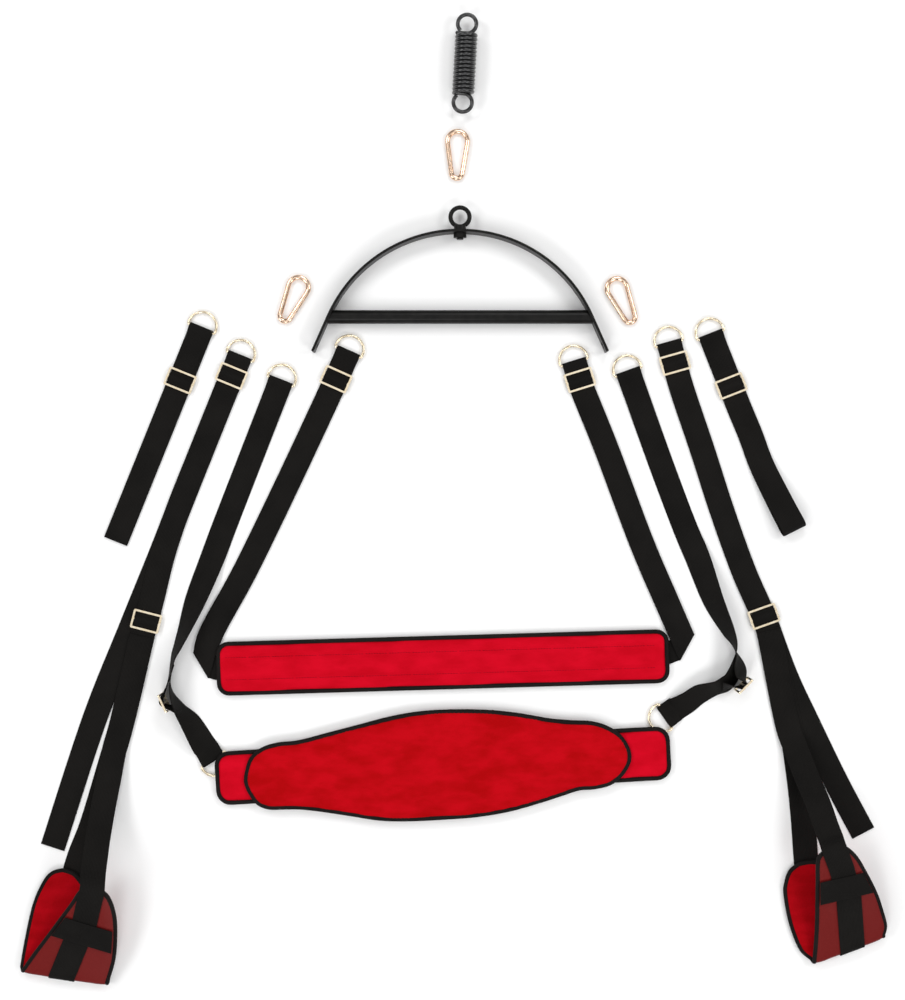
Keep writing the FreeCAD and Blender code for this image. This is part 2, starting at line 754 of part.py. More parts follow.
# Bars of the rings on the back band, and the angle of the strap as it arrives.
BACK_BARS = {"left": ((-370, -401), -54.8), "right": ((326, -335), 208.8)}
BACK_SLIDES = {"left": ((-442.7, -312), -65.0), "right": ((442, -284), -135.0)}


def make_back_straps():
    for side, stations in (("left", LEFT_BACK), ("right", RIGHT_BACK)):
        name = side + "_back"
        bar, arrival = BACK_BARS[side]
        end = walk(bar, arrival + 180, dim("eyelet_radius") + 0.05)
        middle = past_bar(stations)[:-1] + [end + stations[-1][2:]]
        webbing = ribbon(name + "_web", middle, dim("webbing_thick"))
        start = (stations[0][:2], heading(stations[0], stations[1]))
        finish = (bar, arrival)
        keep(with_eyelets(name, [webbing], [start, finish]), name + "_strap")
        ring_at(name + "_ring", [stations[0][:2], stations[1][:2]])
        lower = turned(bar[0], bar[1], dim("eyelet_radius"), arrival - 90)
        make_ring(name + "_band_ring", lower)
        (x, y), angle = BACK_SLIDES[side]
        stand = FreeCAD.Placement(V(0, 0, 0), FreeCAD.Rotation(Y_AXIS, -90))
        edge = turned(x, y, dim("slide_long") / 2, angle - 90)
        make_slide(name + "_slide", edge.multiply(stand))


# ---------------------------------------------------------------- bands and cushion
SEAT_CENTRE, SEAT_TILT = (-16.4, -252.0), 1.65
WING_CENTRE, WING_TILT = (-16.0, -410.4), 3.3
SEAT_WEB_REACH = 336.0      # from the middle of the band to each end of its webbing
WING_WEB_REACH = 285.0
WING_LONG = 700.0
POCKET = (37.0, 52.0, 8.4)  # room inside the back band for a ring and its eyelet
POCKET_BACK = 6.0           # how far the pocket starts before the ring's bar


def make_seat_band():
    outline = rounded_rectangle(dim("band_long"), dim("band_tall"), dim("band_corner"))
    band = padded_outline("seat_band_foam", outline, "dims.band_thick")
    band.Placement = turned(SEAT_CENTRE[0], SEAT_CENTRE[1], dim("band_lift"), SEAT_TILT)
    keep(band, "seat_band")

    start = walk(SEAT_CENTRE, SEAT_TILT + 180, SEAT_WEB_REACH)
    end = walk(SEAT_CENTRE, SEAT_TILT, SEAT_WEB_REACH)
    keep(flat_strap("seat_web", [start, end], "dims.webbing_thick"), "seat_band_webbing")


CUSHION = [
    (-321, -426), (-313, -398), (-295, -382), (-270, -374), (-236, -370), (-190, -358),
    (-144, -346), (-98, -334), (-52, -326), (0, -323), (56, -324), (102, -329), (149, -337),
    (187, -340), (210, -341), (233, -347), (256, -361), (269, -380), (273, -398), (267, -415),
    (255, -430), (238, -441), (215, -446), (192, -448), (164, -457), (133, -467), (87, -480),
    (41, -488), (-5, -492), (-67, -495), (-113, -494), (-159, -487), (-206, -480),
    (-236, -477), (-259, -477), (-283, -477), (-301, -470), (-313, -455), (-320, -440),
]


def make_back_band():
    outline = rounded_rectangle(WING_LONG, dim("band_tall"), dim("wing_corner"))
    strip = padded_outline("back_band_foam", outline, "dims.wing_thick")
    strip.Placement = turned(WING_CENTRE[0], WING_CENTRE[1], dim("band_lift"), WING_TILT)
    pockets = []
    for side, (bar, arrival) in BACK_BARS.items():
        corner = walk(walk(bar, arrival, -POCKET_BACK), arrival - 90, POCKET[1] / 2)
        pockets.append(box(side + "_ring_pocket", POCKET, turned(*corner, 0, arrival)))
    keep(cut("back_band_pocketed", strip, fuse("ring_pockets", *pockets)), "back_band")

    start = walk(WING_CENTRE, WING_TILT + 180, WING_WEB_REACH)
    end = walk(WING_CENTRE, WING_TILT, WING_WEB_REACH)
    keep(flat_strap("back_web", [start, end], "dims.webbing_thick"), "back_band_webbing")

    curve = Part.BSplineCurve()
    curve.interpolate([V(x, y, 0) for x, y in CUSHION], PeriodicFlag=True)
    cushion = padded_outline("cushion_foam", [curve], "dims.cushion_thick")
    cushion.Placement = turned(0, 0, dim("cushion_lift"), 0)
    keep(cushion, "back_cushion")


# ---------------------------------------------------------------- foot cuffs
# A cuff is a leaf-shaped pad folded in two: one flank on the surface, the other raised.
# Outlines are in the cuff's own frame: along the fold, and away from it.
CUFFS = {
    "left": {
        "fold": ((-664, -719), -8.5),
        "under": [(4, 0), (-1, 40), (3, 95), (20, 143), (40, 158), (60, 150), (96, 112),
                  (124, 62), (131, 0)],
        "over": [(4, 0), (22, 42), (52, 96), (84, 138), (106, 152), (122, 146), (136, 100),
                 (138, 48), (131, 0)],
    },
    "right": {
        "fold": ((554, -706), 20.4),
        "under": [(2, 0), (-10, 32), (-12, 66), (-6, 106), (10, 134), (30, 142), (60, 134),
                  (92, 96), (112, 48), (120, 0)],
        "over": [(2, 0), (14, 32), (30, 72), (48, 132), (70, 168), (108, 162), (124, 124),
                 (131, 60), (120, 0)],
    },
}


def make_cuff(side):
    cuff = CUFFS[side]
    (x, y), angle = cuff["fold"]
    thick = dim("cuff_thick")
    base = turned(x, y, 0, angle)
    raised = FreeCAD.Placement(V(0, 0, thick), FreeCAD.Rotation(X_AXIS, dim("cuff_open")))
    flanks = []
    for layer, place in (("under", base), ("over", base.multiply(raised))):
        outline = [smooth(cuff[layer]), line(cuff[layer][-1], cuff[layer][0])]
        flank = padded_outline(f"{side}_cuff_{layer}", outline, "dims.cuff_thick")
        flank.Placement = place
        flanks.append(flank)
    first, last = cuff["under"][0][0], cuff["under"][-1][0]
    spine = cylinder(
        side + "_cuff_spine", "dims.cuff_thick", f"{last - first} mm",
        base.multiply(FreeCAD.Placement(V(first, 0, thick), FreeCAD.Rotation(Z_AXIS, X_AXIS))),
    )
    keep(fuse(side + "_cuff_folded", *flanks, spine), side + "_cuff_pad")


# Webbing sewn on the outside of the raised flank: one band across, one down to the fold.
CUFF_BANDS = {
    "left": (((18, 62), (136, 74)), ((78, 2), (84, 66))),
    "right": (((28, 126), (128, 116)), ((62, 2), (74, 118))),
}
CUFF_BAND_WIDTH = 34.0
BAND_GAP = 0.3              # between the bands and the pad under them


def make_cuff_webbing(side):
    (x, y), angle = CUFFS[side]["fold"]
    rise = dim("cuff_thick") + BAND_GAP
    raised = FreeCAD.Placement(V(0, 0, dim("cuff_thick")),
                               FreeCAD.Rotation(X_AXIS, dim("cuff_open")))
    place = turned(x, y, 0, angle).multiply(raised)
    bands = []
    for i, route in enumerate(CUFF_BANDS[side]):
        outline = strap_outline(list(route), CUFF_BAND_WIDTH)
        band = padded_outline(f"{side}_cuff_band{i}", outline, "dims.webbing_thick")
        band.Placement = place.multiply(FreeCAD.Placement(V(0, 0, rise), FreeCAD.Rotation()))
        bands.append(band)
    keep(fuse(side + "_cuff_bands", *bands), side + "_cuff_webbing")


# The cuff strap is a loop: its lower leg goes to the flank on the surface, its upper leg
# to the raised flank. Each station: x, y, roll, height of its middle.
CUFF_STRAPS = {
    "left": (
        [(-478, -209, 0, 2.7), (-509, -341, 0, 2.7), (-529, -410, 0, 2.7),
         (-556, -500, 0, 2.7), (-576, -552, 0, 2.7)],
        [(-478, -209, 0, 4.6), (-509, -341, 0, 4.6), (-527, -410, 0, 8),
         (-545, -503, 0, 36), (-552, -556, 0, 58), (-557, -606, 0, 74)],
    ),
    "right": (
        [(484, -201, 0, 2.7), (517, -341, 0, 2.7), (529, -410, 0, 2.7),
         (537, -480, 0, 2.7), (542, -548, 0, 2.7)],
        [(484, -201, 0, 4.6), (517, -341, 0, 4.6), (536, -410, 0, 8),
         (562, -478, 0, 38), (576, -512, 0, 64), (582, -529, 0, 80)],
    ),
}


def make_cuff_strap(side):
    lower, upper = CUFF_STRAPS[side]
    thick = dim("webbing_thick")
    pair = doc.addObject("Part::Compound", side + "_cuff_legs")
    pair.Links = [
        ribbon(side + "_cuff_low_leg", lower, thick),
        ribbon(side + "_cuff_high_leg", upper, thick),
    ]
    keep(pair, side + "_cuff_strap")


# ---------------------------------------------------------------- build and write
make_spreader()
make_eye()
make_spring()
for hook in HOOKS:
    make_hook(hook)
make_hand_straps()
make_leg_straps()
make_seat_straps()
make_back_straps()
make_seat_band()
make_back_band()
for cuff_side in CUFFS:
    make_cuff(cuff_side)
    make_cuff_webbing(cuff_side)
    make_cuff_strap(cuff_side)
doc.recompute()

for feature in doc.Objects:
    if {"Invalid", "Error"} & set(feature.State):
        raise RuntimeError(f"{feature.Label} failed to build")

os.makedirs("parts", exist_ok=True)
for name, feature in nodes.items():
    shape = feature.Shape
    if shape.isNull() or not shape.isValid() or not shape.Solids:
        raise RuntimeError(f"{name} has no valid solid")
    shape.exportStep(f"parts/{name}.step")
    box_of = shape.optimalBoundingBox()
    print(f"{name:22s} solids {len(shape.Solids)} volume {shape.Volume / 1000:8.2f} cm3  "
          f"x {box_of.XMin:7.1f} {box_of.XMax:7.1f}  y {box_of.YMin:7.1f} {box_of.YMax:7.1f}  "
          f"z {box_of.ZMin:6.2f} {box_of.ZMax:6.2f}")
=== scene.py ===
import json
from math import atan2, cos, degrees, exp, hypot, pi, radians, sin

import bmesh
import bpy
import numpy as np
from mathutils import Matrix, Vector, noise


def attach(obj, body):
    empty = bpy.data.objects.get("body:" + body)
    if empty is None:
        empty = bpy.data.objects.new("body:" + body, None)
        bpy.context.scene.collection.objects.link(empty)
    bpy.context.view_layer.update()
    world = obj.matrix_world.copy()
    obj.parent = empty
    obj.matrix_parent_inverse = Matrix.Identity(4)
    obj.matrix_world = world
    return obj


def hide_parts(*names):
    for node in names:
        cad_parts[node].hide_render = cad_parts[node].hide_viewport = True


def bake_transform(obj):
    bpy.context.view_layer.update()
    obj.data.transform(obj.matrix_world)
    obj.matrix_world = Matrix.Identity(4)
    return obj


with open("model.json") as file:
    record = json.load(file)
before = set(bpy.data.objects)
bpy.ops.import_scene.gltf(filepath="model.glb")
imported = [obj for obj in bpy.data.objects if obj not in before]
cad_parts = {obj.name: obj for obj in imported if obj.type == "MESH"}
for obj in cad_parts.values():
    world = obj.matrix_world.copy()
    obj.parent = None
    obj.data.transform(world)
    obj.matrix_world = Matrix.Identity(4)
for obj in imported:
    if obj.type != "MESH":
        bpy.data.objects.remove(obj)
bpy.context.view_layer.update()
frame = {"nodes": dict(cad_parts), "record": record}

# A suspension swing kit laid out flat: metal from the CAD frame, and everything soft made here.
# Lengths in this script are millimetres, turned into metres where a mesh is made.

MM = 0.001
UP = Vector((0, 0, 1))

WEBBING = 38.0
THICK = 1.6
LOW, HIGH = 0.8, 2.5        # middles of the two layers of a doubled strap
BAR_HEIGHT = 3.9            # middle of a D ring's bar
WRAP = 2.95                 # webbing's middle, around that bar
LOW_FROM, HIGH_FROM = 16, 26    # where the layers of a strap lie flat, from that bar on

# Middle lines of the straps, from the ring's bar outwards.
LEFT_HAND = [(-388, 261), (-432, 152), (-476, 43), (-520, -66)]
RIGHT_HAND = [(396, 251), (420, 190), (438, 144), (457, 98), (474, 52), (499, -1), (515, -33)]
LEFT_SHARED = [(-329, 218), (-350, 167), (-387, 75), (-424, -18)]
LEFT_LEG = LEFT_SHARED + [(-447, -87), (-464, -156), (-478, -209)]
LEFT_TAIL = LEFT_SHARED + [(-451, -87), (-498, -203), (-553, -341), (-617, -537)]
RIGHT_SHARED = [(332, 238), (352, 167), (383, 75), (413, -18), (446, -110), (477, -181)]
RIGHT_LEG = RIGHT_SHARED + [(484, -201)]
RIGHT_TAIL = RIGHT_SHARED + [(511, -272), (543, -341), (588, -434), (631, -515)]
LEFT_SEAT = [(-162, 225), (-188, 167), (-253, 28), (-320, -110), (-372, -206)]
RIGHT_SEAT = [(186, 209), (199, 167), (236, 75), (288, -64), (327, -156)]
# How far each slide's middle is from the ring's bar.
SLIDE_STEPS = {"left_hand": 85.7, "left_leg": 32.0, "left_seat": 45.6,
               "right_seat": 28.0, "right_leg": 31.0, "right_hand": 83.8}
# Fold lines beside the seat band: the strap's outer corner, and the line's angle.
SEAT_FOLDS = {"left": ((-400, -236), -59.6), "right": ((370, -208), -118.5)}
FOLD_WIDE = 47.0            # length of such a fold line
# The back straps make half a twist from the ring to the ring on the back band: x, y, roll.
LEFT_BACK = [(-266, 180, 0), (-316, 52, 0), (-352, -41, 0), (-371, -92, 4), (-396, -156, 26),
             (-413, -203, 53), (-422, -226, 64), (-430, -249, 74), (-433, -290, 84),
             (-421, -318, 106), (-404, -341, 133), (-387, -374, 165), (-370, -401, 180)]
RIGHT_BACK = [(269, 194, 0), (320, 52, 0), (355, -41, 0), (376, -92, 8), (398, -156, 40),
              (420, -203, 65), (430, -226, 88), (432, -249, 116), (427, -272, 133),
              (417, -284, 138), (401, -291, 132), (378, -300, 150), (360, -313, 158),
              (343, -323, 170), (326, -335, 180)]
# The outer layer of each, which goes round the middle bar of its slide: x, y, roll.
LEFT_THREADED = [(-430, -252, 72), (-435, -275, 80), (-441, -293, 86), (-446, -305, 90),
                 (-446, -312, 90), (-440, -317, 90), (-430, -320, 95), (-416, -324, 105)]
RIGHT_THREADED = [(433, -238, 100), (437, -254, 122), (441, -268, 126), (446, -277, 104),
                  (447, -282, 90), (444, -286, 90), (437, -289, 90), (425, -288, 100),
                  (412, -290, 122)]

SEAT_CENTRE, SEAT_TILT, SEAT_SIZE, SEAT_CORNER = (-16.4, -252.0), 1.65, (696.0, 83.0), 19.0
WING_CENTRE, WING_TILT, WING_SIZE, WING_CORNER = (-16.0, -410.4), 3.3, (700.0, 83.0), 22.0
BAND_RINGS = [(-362, -414), (310, -345)]
CUSHION = [
    (-321, -426), (-313, -398), (-295, -382), (-270, -374), (-236, -370), (-190, -358),
    (-144, -346), (-98, -334), (-52, -326), (0, -323), (56, -324), (102, -329), (149, -337),
    (187, -340), (210, -341), (233, -347), (256, -361), (269, -380), (273, -398), (267, -415),
    (255, -430), (238, -441), (215, -446), (192, -448), (164, -457), (133, -467), (87, -480),
    (41, -488), (-5, -492), (-67, -495), (-113, -494), (-159, -487), (-206, -480),
    (-236, -477), (-259, -477), (-283, -477), (-301, -470), (-313, -455), (-320, -440),
]


# --- materials
def principled(name, **values):
    """A material whose constant values sit on the shader's own sockets."""
    material = bpy.data.materials.new(name)
    material.use_nodes = True
    shader = material.node_tree.nodes["Principled BSDF"]
    for key, value in values.items():
        shader.inputs[key.replace("_", " ")].default_value = value
    return material


def node(material, kind, **values):
    """A new node; values name its properties or, with a leading capital, its inputs."""
    made = material.node_tree.nodes.new(kind)
    for key, value in values.items():
        if key[0].isupper():
            made.inputs[key.replace("_", " ")].default_value = value
        else:
            setattr(made, key, value)
    return made


def join(material, start, end):
    material.node_tree.links.new(start, end)


def maths(material, operation, a, b=None):
    made = node(material, "ShaderNodeMath", operation=operation)
    for socket, value in zip(made.inputs, (a, b)):
        if value is None:
            continue
        if isinstance(value, (int, float)):
            socket.default_value = value
        else:
            join(material, value, socket)
    return made.outputs[0]


def shader_of(material):
    return material.node_tree.nodes["Principled BSDF"]


def place_of(material):
    return node(material, "ShaderNodeTexCoord").outputs["Object"]


def cloudy(material, scale, detail=3.0, vector=None):
    made = node(material, "ShaderNodeTexNoise", Scale=scale, Detail=detail)
    join(material, vector or place_of(material), made.inputs["Vector"])
    return made.outputs["Fac"]


def two_tone(material, factor, dark, light, low=0.35, high=0.65):
    """Base colour between two tones, as a pattern goes from low to high."""
    ramp = node(material, "ShaderNodeValToRGB")
    for stop, position, colour in zip(ramp.color_ramp.elements, (low, high), (dark, light)):
        stop.position = position
        stop.color = (*colour, 1.0)
    join(material, factor, ramp.inputs["Fac"])
    join(material, ramp.outputs["Color"], shader_of(material).inputs["Base Color"])


def vary_roughness(material, factor, low, high):
    spread = node(material, "ShaderNodeMapRange", To_Min=low, To_Max=high)
    join(material, factor, spread.inputs["Value"])
    join(material, spread.outputs["Result"], shader_of(material).inputs["Roughness"])


def bump(material, height, distance, strength=1.0):
    """Adds a bump on top of any that the material has; distance is in metres."""
    made = node(material, "ShaderNodeBump", Distance=distance, Strength=strength)
    join(material, height, made.inputs["Height"])
    normal = shader_of(material).inputs["Normal"]
    if normal.is_linked:
        join(material, normal.links[0].from_socket, made.inputs["Normal"])
    join(material, made.outputs["Normal"], normal)


def painted_steel():
    steel = principled("black_painted_steel", Specular_IOR_Level=0.16, Coat_Weight=0.02)
    two_tone(steel, cloudy(steel, 90.0), (0.0035, 0.0033, 0.0030), (0.0075, 0.0070, 0.0064))
    vary_roughness(steel, cloudy(steel, 320.0), 0.30, 0.48)
    bump(steel, cloudy(steel, 700.0, 2.0), 0.00005, 0.6)
    return steel


def enamelled_spring():
    enamel = principled("black_spring_enamel", IOR=1.5, Coat_Weight=0.5, Coat_Roughness=0.12)
    two_tone(enamel, cloudy(enamel, 160.0), (0.004, 0.004, 0.0045), (0.010, 0.010, 0.011))
    vary_roughness(enamel, cloudy(enamel, 240.0), 0.22, 0.38)
    bump(enamel, cloudy(enamel, 500.0, 2.0), 0.00004, 0.5)
    return enamel


def plated(name, dark, light, rough):
    """Polished plated wire, with faint draw marks and duller patches."""
    metal = principled(name, Metallic=1.0)
    two_tone(metal, cloudy(metal, 140.0), dark, light)
    vary_roughness(metal, cloudy(metal, 420.0), rough, rough + 0.14)
    bump(metal, cloudy(metal, 1500.0, 2.0), 0.00002, 0.5)
    return metal


def weave_parts(material):
    """Distances along and across a strip, in metres, from its own attribute."""
    read = node(material, "ShaderNodeAttribute", attribute_name="weave")
    split = node(material, "ShaderNodeSeparateXYZ")
    join(material, read.outputs["Vector"], split.inputs["Vector"])
    return read.outputs["Vector"], split.outputs["X"], split.outputs["Y"]


def woven(name, dark, light, rib=0.0021, pick=0.0016, depth=0.00022):
    """Herringbone webbing: ribs along the strip, and picks that lean from rib to rib."""
    cloth = principled(name, Specular_IOR_Level=0.08, Sheen_Weight=0.01, Sheen_Roughness=0.6)
    vector, along, across = weave_parts(cloth)
    ribs = maths(cloth, "DIVIDE", across, rib)
    lean = maths(cloth, "PINGPONG", ribs, 1.0)
    picks = maths(cloth, "ADD", maths(cloth, "DIVIDE", along, pick), lean)
    pick_wave = maths(cloth, "SINE", maths(cloth, "MULTIPLY", picks, 2 * pi))
    rib_wave = maths(cloth, "ABSOLUTE", maths(cloth, "SINE", maths(cloth, "MULTIPLY", ribs, pi)))
    yarn = maths(cloth, "ADD", maths(cloth, "MULTIPLY", pick_wave, 0.35), rib_wave)
    fibre = cloudy(cloth, 2600.0, 2.0, vector)
    fuzz = maths(cloth, "ADD", yarn, maths(cloth, "MULTIPLY", fibre, 0.5))
    worn = maths(cloth, "ADD", maths(cloth, "MULTIPLY", fuzz, 0.35), cloudy(cloth, 14.0))
    two_tone(cloth, worn, dark, light, 0.45, 1.15)
    vary_roughness(cloth, yarn, 0.9, 0.66)
    bump(cloth, fuzz, depth, 0.8)
    return cloth


def plush(name, dark, light, sheen):
    """Short-pile velvet: brushed patches, fine pile and a soft sheen of its own colour."""
    cloth = principled(
        name, Specular_IOR_Level=0.06, Sheen_Weight=sheen, Sheen_Roughness=0.4,
        Sheen_Tint=(1.0, 0.10, 0.14, 1.0))
    place = node(cloth, "ShaderNodeMapping")
    place.inputs["Scale"].default_value = (1.0, 2.2, 1.0)
    join(cloth, place_of(cloth), place.inputs["Vector"])
    brushed = cloudy(cloth, 26.0, 5.0, place.outputs["Vector"])
    pile = cloudy(cloth, 1700.0, 2.0)
    nap = maths(cloth, "MULTIPLY", maths(cloth, "SUBTRACT", pile, 0.5), 0.3)
    two_tone(cloth, maths(cloth, "ADD", brushed, nap), dark, light, 0.34, 0.66)
    vary_roughness(cloth, brushed, 0.95, 0.75)
    bump(cloth, pile, 0.00025, 0.7)
    bump(cloth, brushed, 0.0009, 0.35)
    return cloth


def satin():
    cloth = principled("cuff_satin", Specular_IOR_Level=0.12, Anisotropic=0.4)
    slub = node(cloth, "ShaderNodeMapping")
    slub.inputs["Scale"].default_value = (1.0, 9.0, 1.0)
    join(cloth, place_of(cloth), slub.inputs["Vector"])
    threads = cloudy(cloth, 420.0, 3.0, slub.outputs["Vector"])
    two_tone(cloth, threads, (0.125, 0.0075, 0.007), (0.175, 0.012, 0.011))
    vary_roughness(cloth, threads, 0.38, 0.58)
    bump(cloth, threads, 0.00012, 0.5)
    return cloth


BLACK_STEEL = painted_steel()
SPRING_BLACK = enamelled_spring()
ROSE_GOLD = plated("rose_gold_plate", (0.84, 0.58, 0.41), (0.95, 0.73, 0.57), 0.14)
PALE_GOLD = plated("pale_gold_plate", (0.86, 0.72, 0.50), (0.97, 0.86, 0.67), 0.2)
BLACK_WEB = woven("black_webbing", (0.0032, 0.0029, 0.0026), (0.0085, 0.0076, 0.0068))
BLACK_BINDING = woven("black_binding", (0.0045, 0.0038, 0.0035), (0.012, 0.0098, 0.0092),
                      0.0012, 0.0011, 0.00012)
BLACK_THREAD = woven("black_thread", (0.008, 0.0075, 0.007), (0.03, 0.028, 0.026), 0.0006, 0.0009)
RED_THREAD = woven("red_thread", (0.20, 0.001, 0.008), (0.42, 0.004, 0.02), 0.0006, 0.0009)
BAND_RED = plush("band_plush", (0.50, 0.0006, 0.009), (0.60, 0.0012, 0.014), 0.02)
CUSHION_RED = plush("cushion_plush", (0.38, 0.0005, 0.002), (0.50, 0.0008, 0.006), 0.02)
# The cuff lining is the band's plush made darker: painted shade for the inside of the folded cuff.
LINING_RED_PAINTED_SHADE = plush("lining_plush_painted_shade", (0.30, 0.0005, 0.003), (0.40, 0.0008, 0.006), 0.02)
SATIN = satin()


# --- meshes
def heading(a, b):
    """The angle of the way from a to b, in degrees from +X."""
    return degrees(atan2(b[1] - a[1], b[0] - a[0]))


def walk(point, angle, distance):
    """The point at a distance from another, along an angle."""
    return point[0] + distance * cos(radians(angle)), point[1] + distance * sin(radians(angle))


def toward(angle):
    return Vector((cos(radians(angle)), sin(radians(angle)), 0))


def new_piece(name, points, faces, *materials):
    mesh = bpy.data.meshes.new(name)
    mesh.from_pydata([tuple(c * MM for c in p) for p in points], [], faces)
    mesh.update()
    piece = bpy.data.objects.new(name, mesh)
    bpy.context.scene.collection.objects.link(piece)
    for material in materials:
        mesh.materials.append(material)
    return piece


def soft_shaded(piece, crease=50):
    piece.data.shade_smooth()
    piece.data.set_sharp_from_angle(angle=radians(crease))
    return piece


def catmull(stations, spacing, closed=False):
    """Stations, each a tuple of vectors, with more between them along a Catmull-Rom curve."""
    filled = []
    count = len(stations)
    spans = count if closed else count - 1
    for i in range(spans):
        if closed:
            four = [stations[(i + k) % count] for k in (-1, 0, 1, 2)]
        else:
            four = [stations[min(max(i + k, 0), count - 1)] for k in (-1, 0, 1, 2)]
        steps = max(1, round((four[2][0] - four[1][0]).length / spacing))
        for step in range(steps):
            u = step / steps
            weights = (
                -0.5 * u + u ** 2 - 0.5 * u ** 3,
                1 - 2.5 * u ** 2 + 1.5 * u ** 3,
                0.5 * u + 2 * u ** 2 - 1.5 * u ** 3,
                -0.5 * u ** 2 + 0.5 * u ** 3,
            )
            filled.append(tuple(
                sum((v * w for v, w in zip(parts, weights)), Vector((0, 0, 0)))
                for parts in zip(*four)))
    return filled if closed else filled + [stations[-1]]


def turn_out(piece, weld=0.0):
    """Makes every face of a closed piece look outwards, with points joined up to weld apart."""
    turned = bmesh.new()
    turned.from_mesh(piece.data)
    if weld:
        bmesh.ops.remove_doubles(turned, verts=turned.verts, dist=weld * MM)
        bmesh.ops.dissolve_degenerate(turned, edges=turned.edges, dist=weld / 5 * MM)
    bmesh.ops.recalc_face_normals(turned, faces=turned.faces)
    turned.to_mesh(piece.data)
    turned.free()


def sweep(name, stations, profile, material, closed=False):
    """A strip or tube: a closed profile of (across, rise) carried along (centre, side, up)."""
    count = len(profile)
    points, woven_at = [], []
    along = 0.0
    for i, (centre, side, up) in enumerate(stations):
        if i:
            along += (centre - stations[i - 1][0]).length
        for across, rise in profile:
            points.append(centre + side * across + up * rise)
            woven_at.append((along * MM, across * MM, rise * MM))
    faces = []
    rows = len(stations)
    for i in range(rows if closed else rows - 1):
        for j in range(count):
            a, b = i * count + j, i * count + (j + 1) % count
            c, d = ((i + 1) % rows) * count + (j + 1) % count, ((i + 1) % rows) * count + j
            faces.append((a, d, c, b))
    if not closed:
        faces.append(tuple(range(count)))
        faces.append(tuple(reversed(range((rows - 1) * count, rows * count))))
    piece = new_piece(name, points, faces, material)
    store = piece.data.attributes.new("weave", "FLOAT_VECTOR", "POINT")
    store.data.foreach_set("vector", [c for p in woven_at for c in p])
    turn_out(piece)
    return soft_shaded(piece)


def strip_profile(width, thick):
    """A flat section with rounded selvedges, a little thinner at its edges."""
    half, rise = width / 2, thick / 2
    edge = [(half - 1.6, rise), (half - 0.7, rise * 0.86), (half - 0.1, rise * 0.45)]
    right = edge + [(x, -z) for x, z in reversed(edge)]
    middle = [half * k for k in (0.6, 0.2, -0.2, -0.6)]
    left = [(-x, -z) for x, z in right]
    return right + [(x, -rise) for x in middle] + left + [(-x, rise) for x in middle]


def oval_profile(wide, tall, count=14):
    return [(wide * cos(2 * pi * k / count), tall * sin(2 * pi * k / count)) for k in range(count)]


def with_up(stations, closed):
    """Adds the face direction to stations of (centre, side), square to both."""
    full = []
    count = len(stations)
    for i, (centre, side) in enumerate(stations):
        if closed:
            ahead = stations[(i + 1) % count][0] - stations[i - 1][0]
        else:
            ahead = stations[min(i + 1, count - 1)][0] - stations[max(i - 1, 0)][0]
        full.append((centre, side, ahead.cross(side).normalized()))
    return full


def tape(name, path, width=WEBBING, thick=THICK, spacing=4.0, closed=False):
    """Flat webbing along a path of (centre, side)."""
    stations = with_up(catmull(path, spacing, closed), closed)
    return sweep(name, stations, strip_profile(width, thick), BLACK_WEB, closed)


def side_at(route, i):
    before, after = route[max(0, i - 1)], route[min(len(route) - 1, i + 1)]
    return toward(heading(before, after) + 90)


def lay(route, height, skip=0.0):
    """Stations of (centre, side) flat along a route; skip moves its first point on."""
    stations = []
    for i, (x, y) in enumerate(route):
        if i == 0 and skip:
            x, y = walk(route[0], heading(route[0], route[1]), skip)
        stations.append((Vector((x, y, height)), side_at(route, i)))
    return stations


def around_bar(bar, angle):
    """Stations from the lower layer, around a ring's bar, to the upper layer."""
    side = toward(angle + 90)
    ahead = toward(angle)
    centre = Vector((bar[0], bar[1], BAR_HEIGHT))
    stations = [(centre + ahead * 7 + UP * (LOW - BAR_HEIGHT), side)]
    for turn in range(-90, -271, -30):
        out = ahead * cos(radians(turn)) + UP * sin(radians(turn))
        stations.append((centre + out * WRAP, side))
    for step, height in ((5, 6.1), (11, 4.1), (18, 2.75)):
        stations.append((centre + ahead * step + UP * (height - BAR_HEIGHT), side))
    return stations


def doubled(lower, upper):
    """One length of webbing: up the lower route, around the ring's bar, down the upper one."""
    angle = heading(lower[0], lower[1])
    return (list(reversed(lay(lower, LOW, LOW_FROM))) + around_bar(lower[0], angle)
            + lay(upper, HIGH, HIGH_FROM))


def belongs(piece, body, slot, *nodes):
    """Rides a piece on a body and lets it stand for CAD nodes; slot is not used."""
    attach(piece, body)
    if nodes:
        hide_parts(*nodes)
    return piece


def webbing(name, path, body, *nodes, **shape):
    """A strip of black webbing that rides on a body."""
    return belongs(tape(name, path, **shape), body, "black_webbing", *nodes)


# --- stitching
STITCH_LONG, STITCH_GAP, STITCH_WIDE = 2.9, 1.3, 0.42


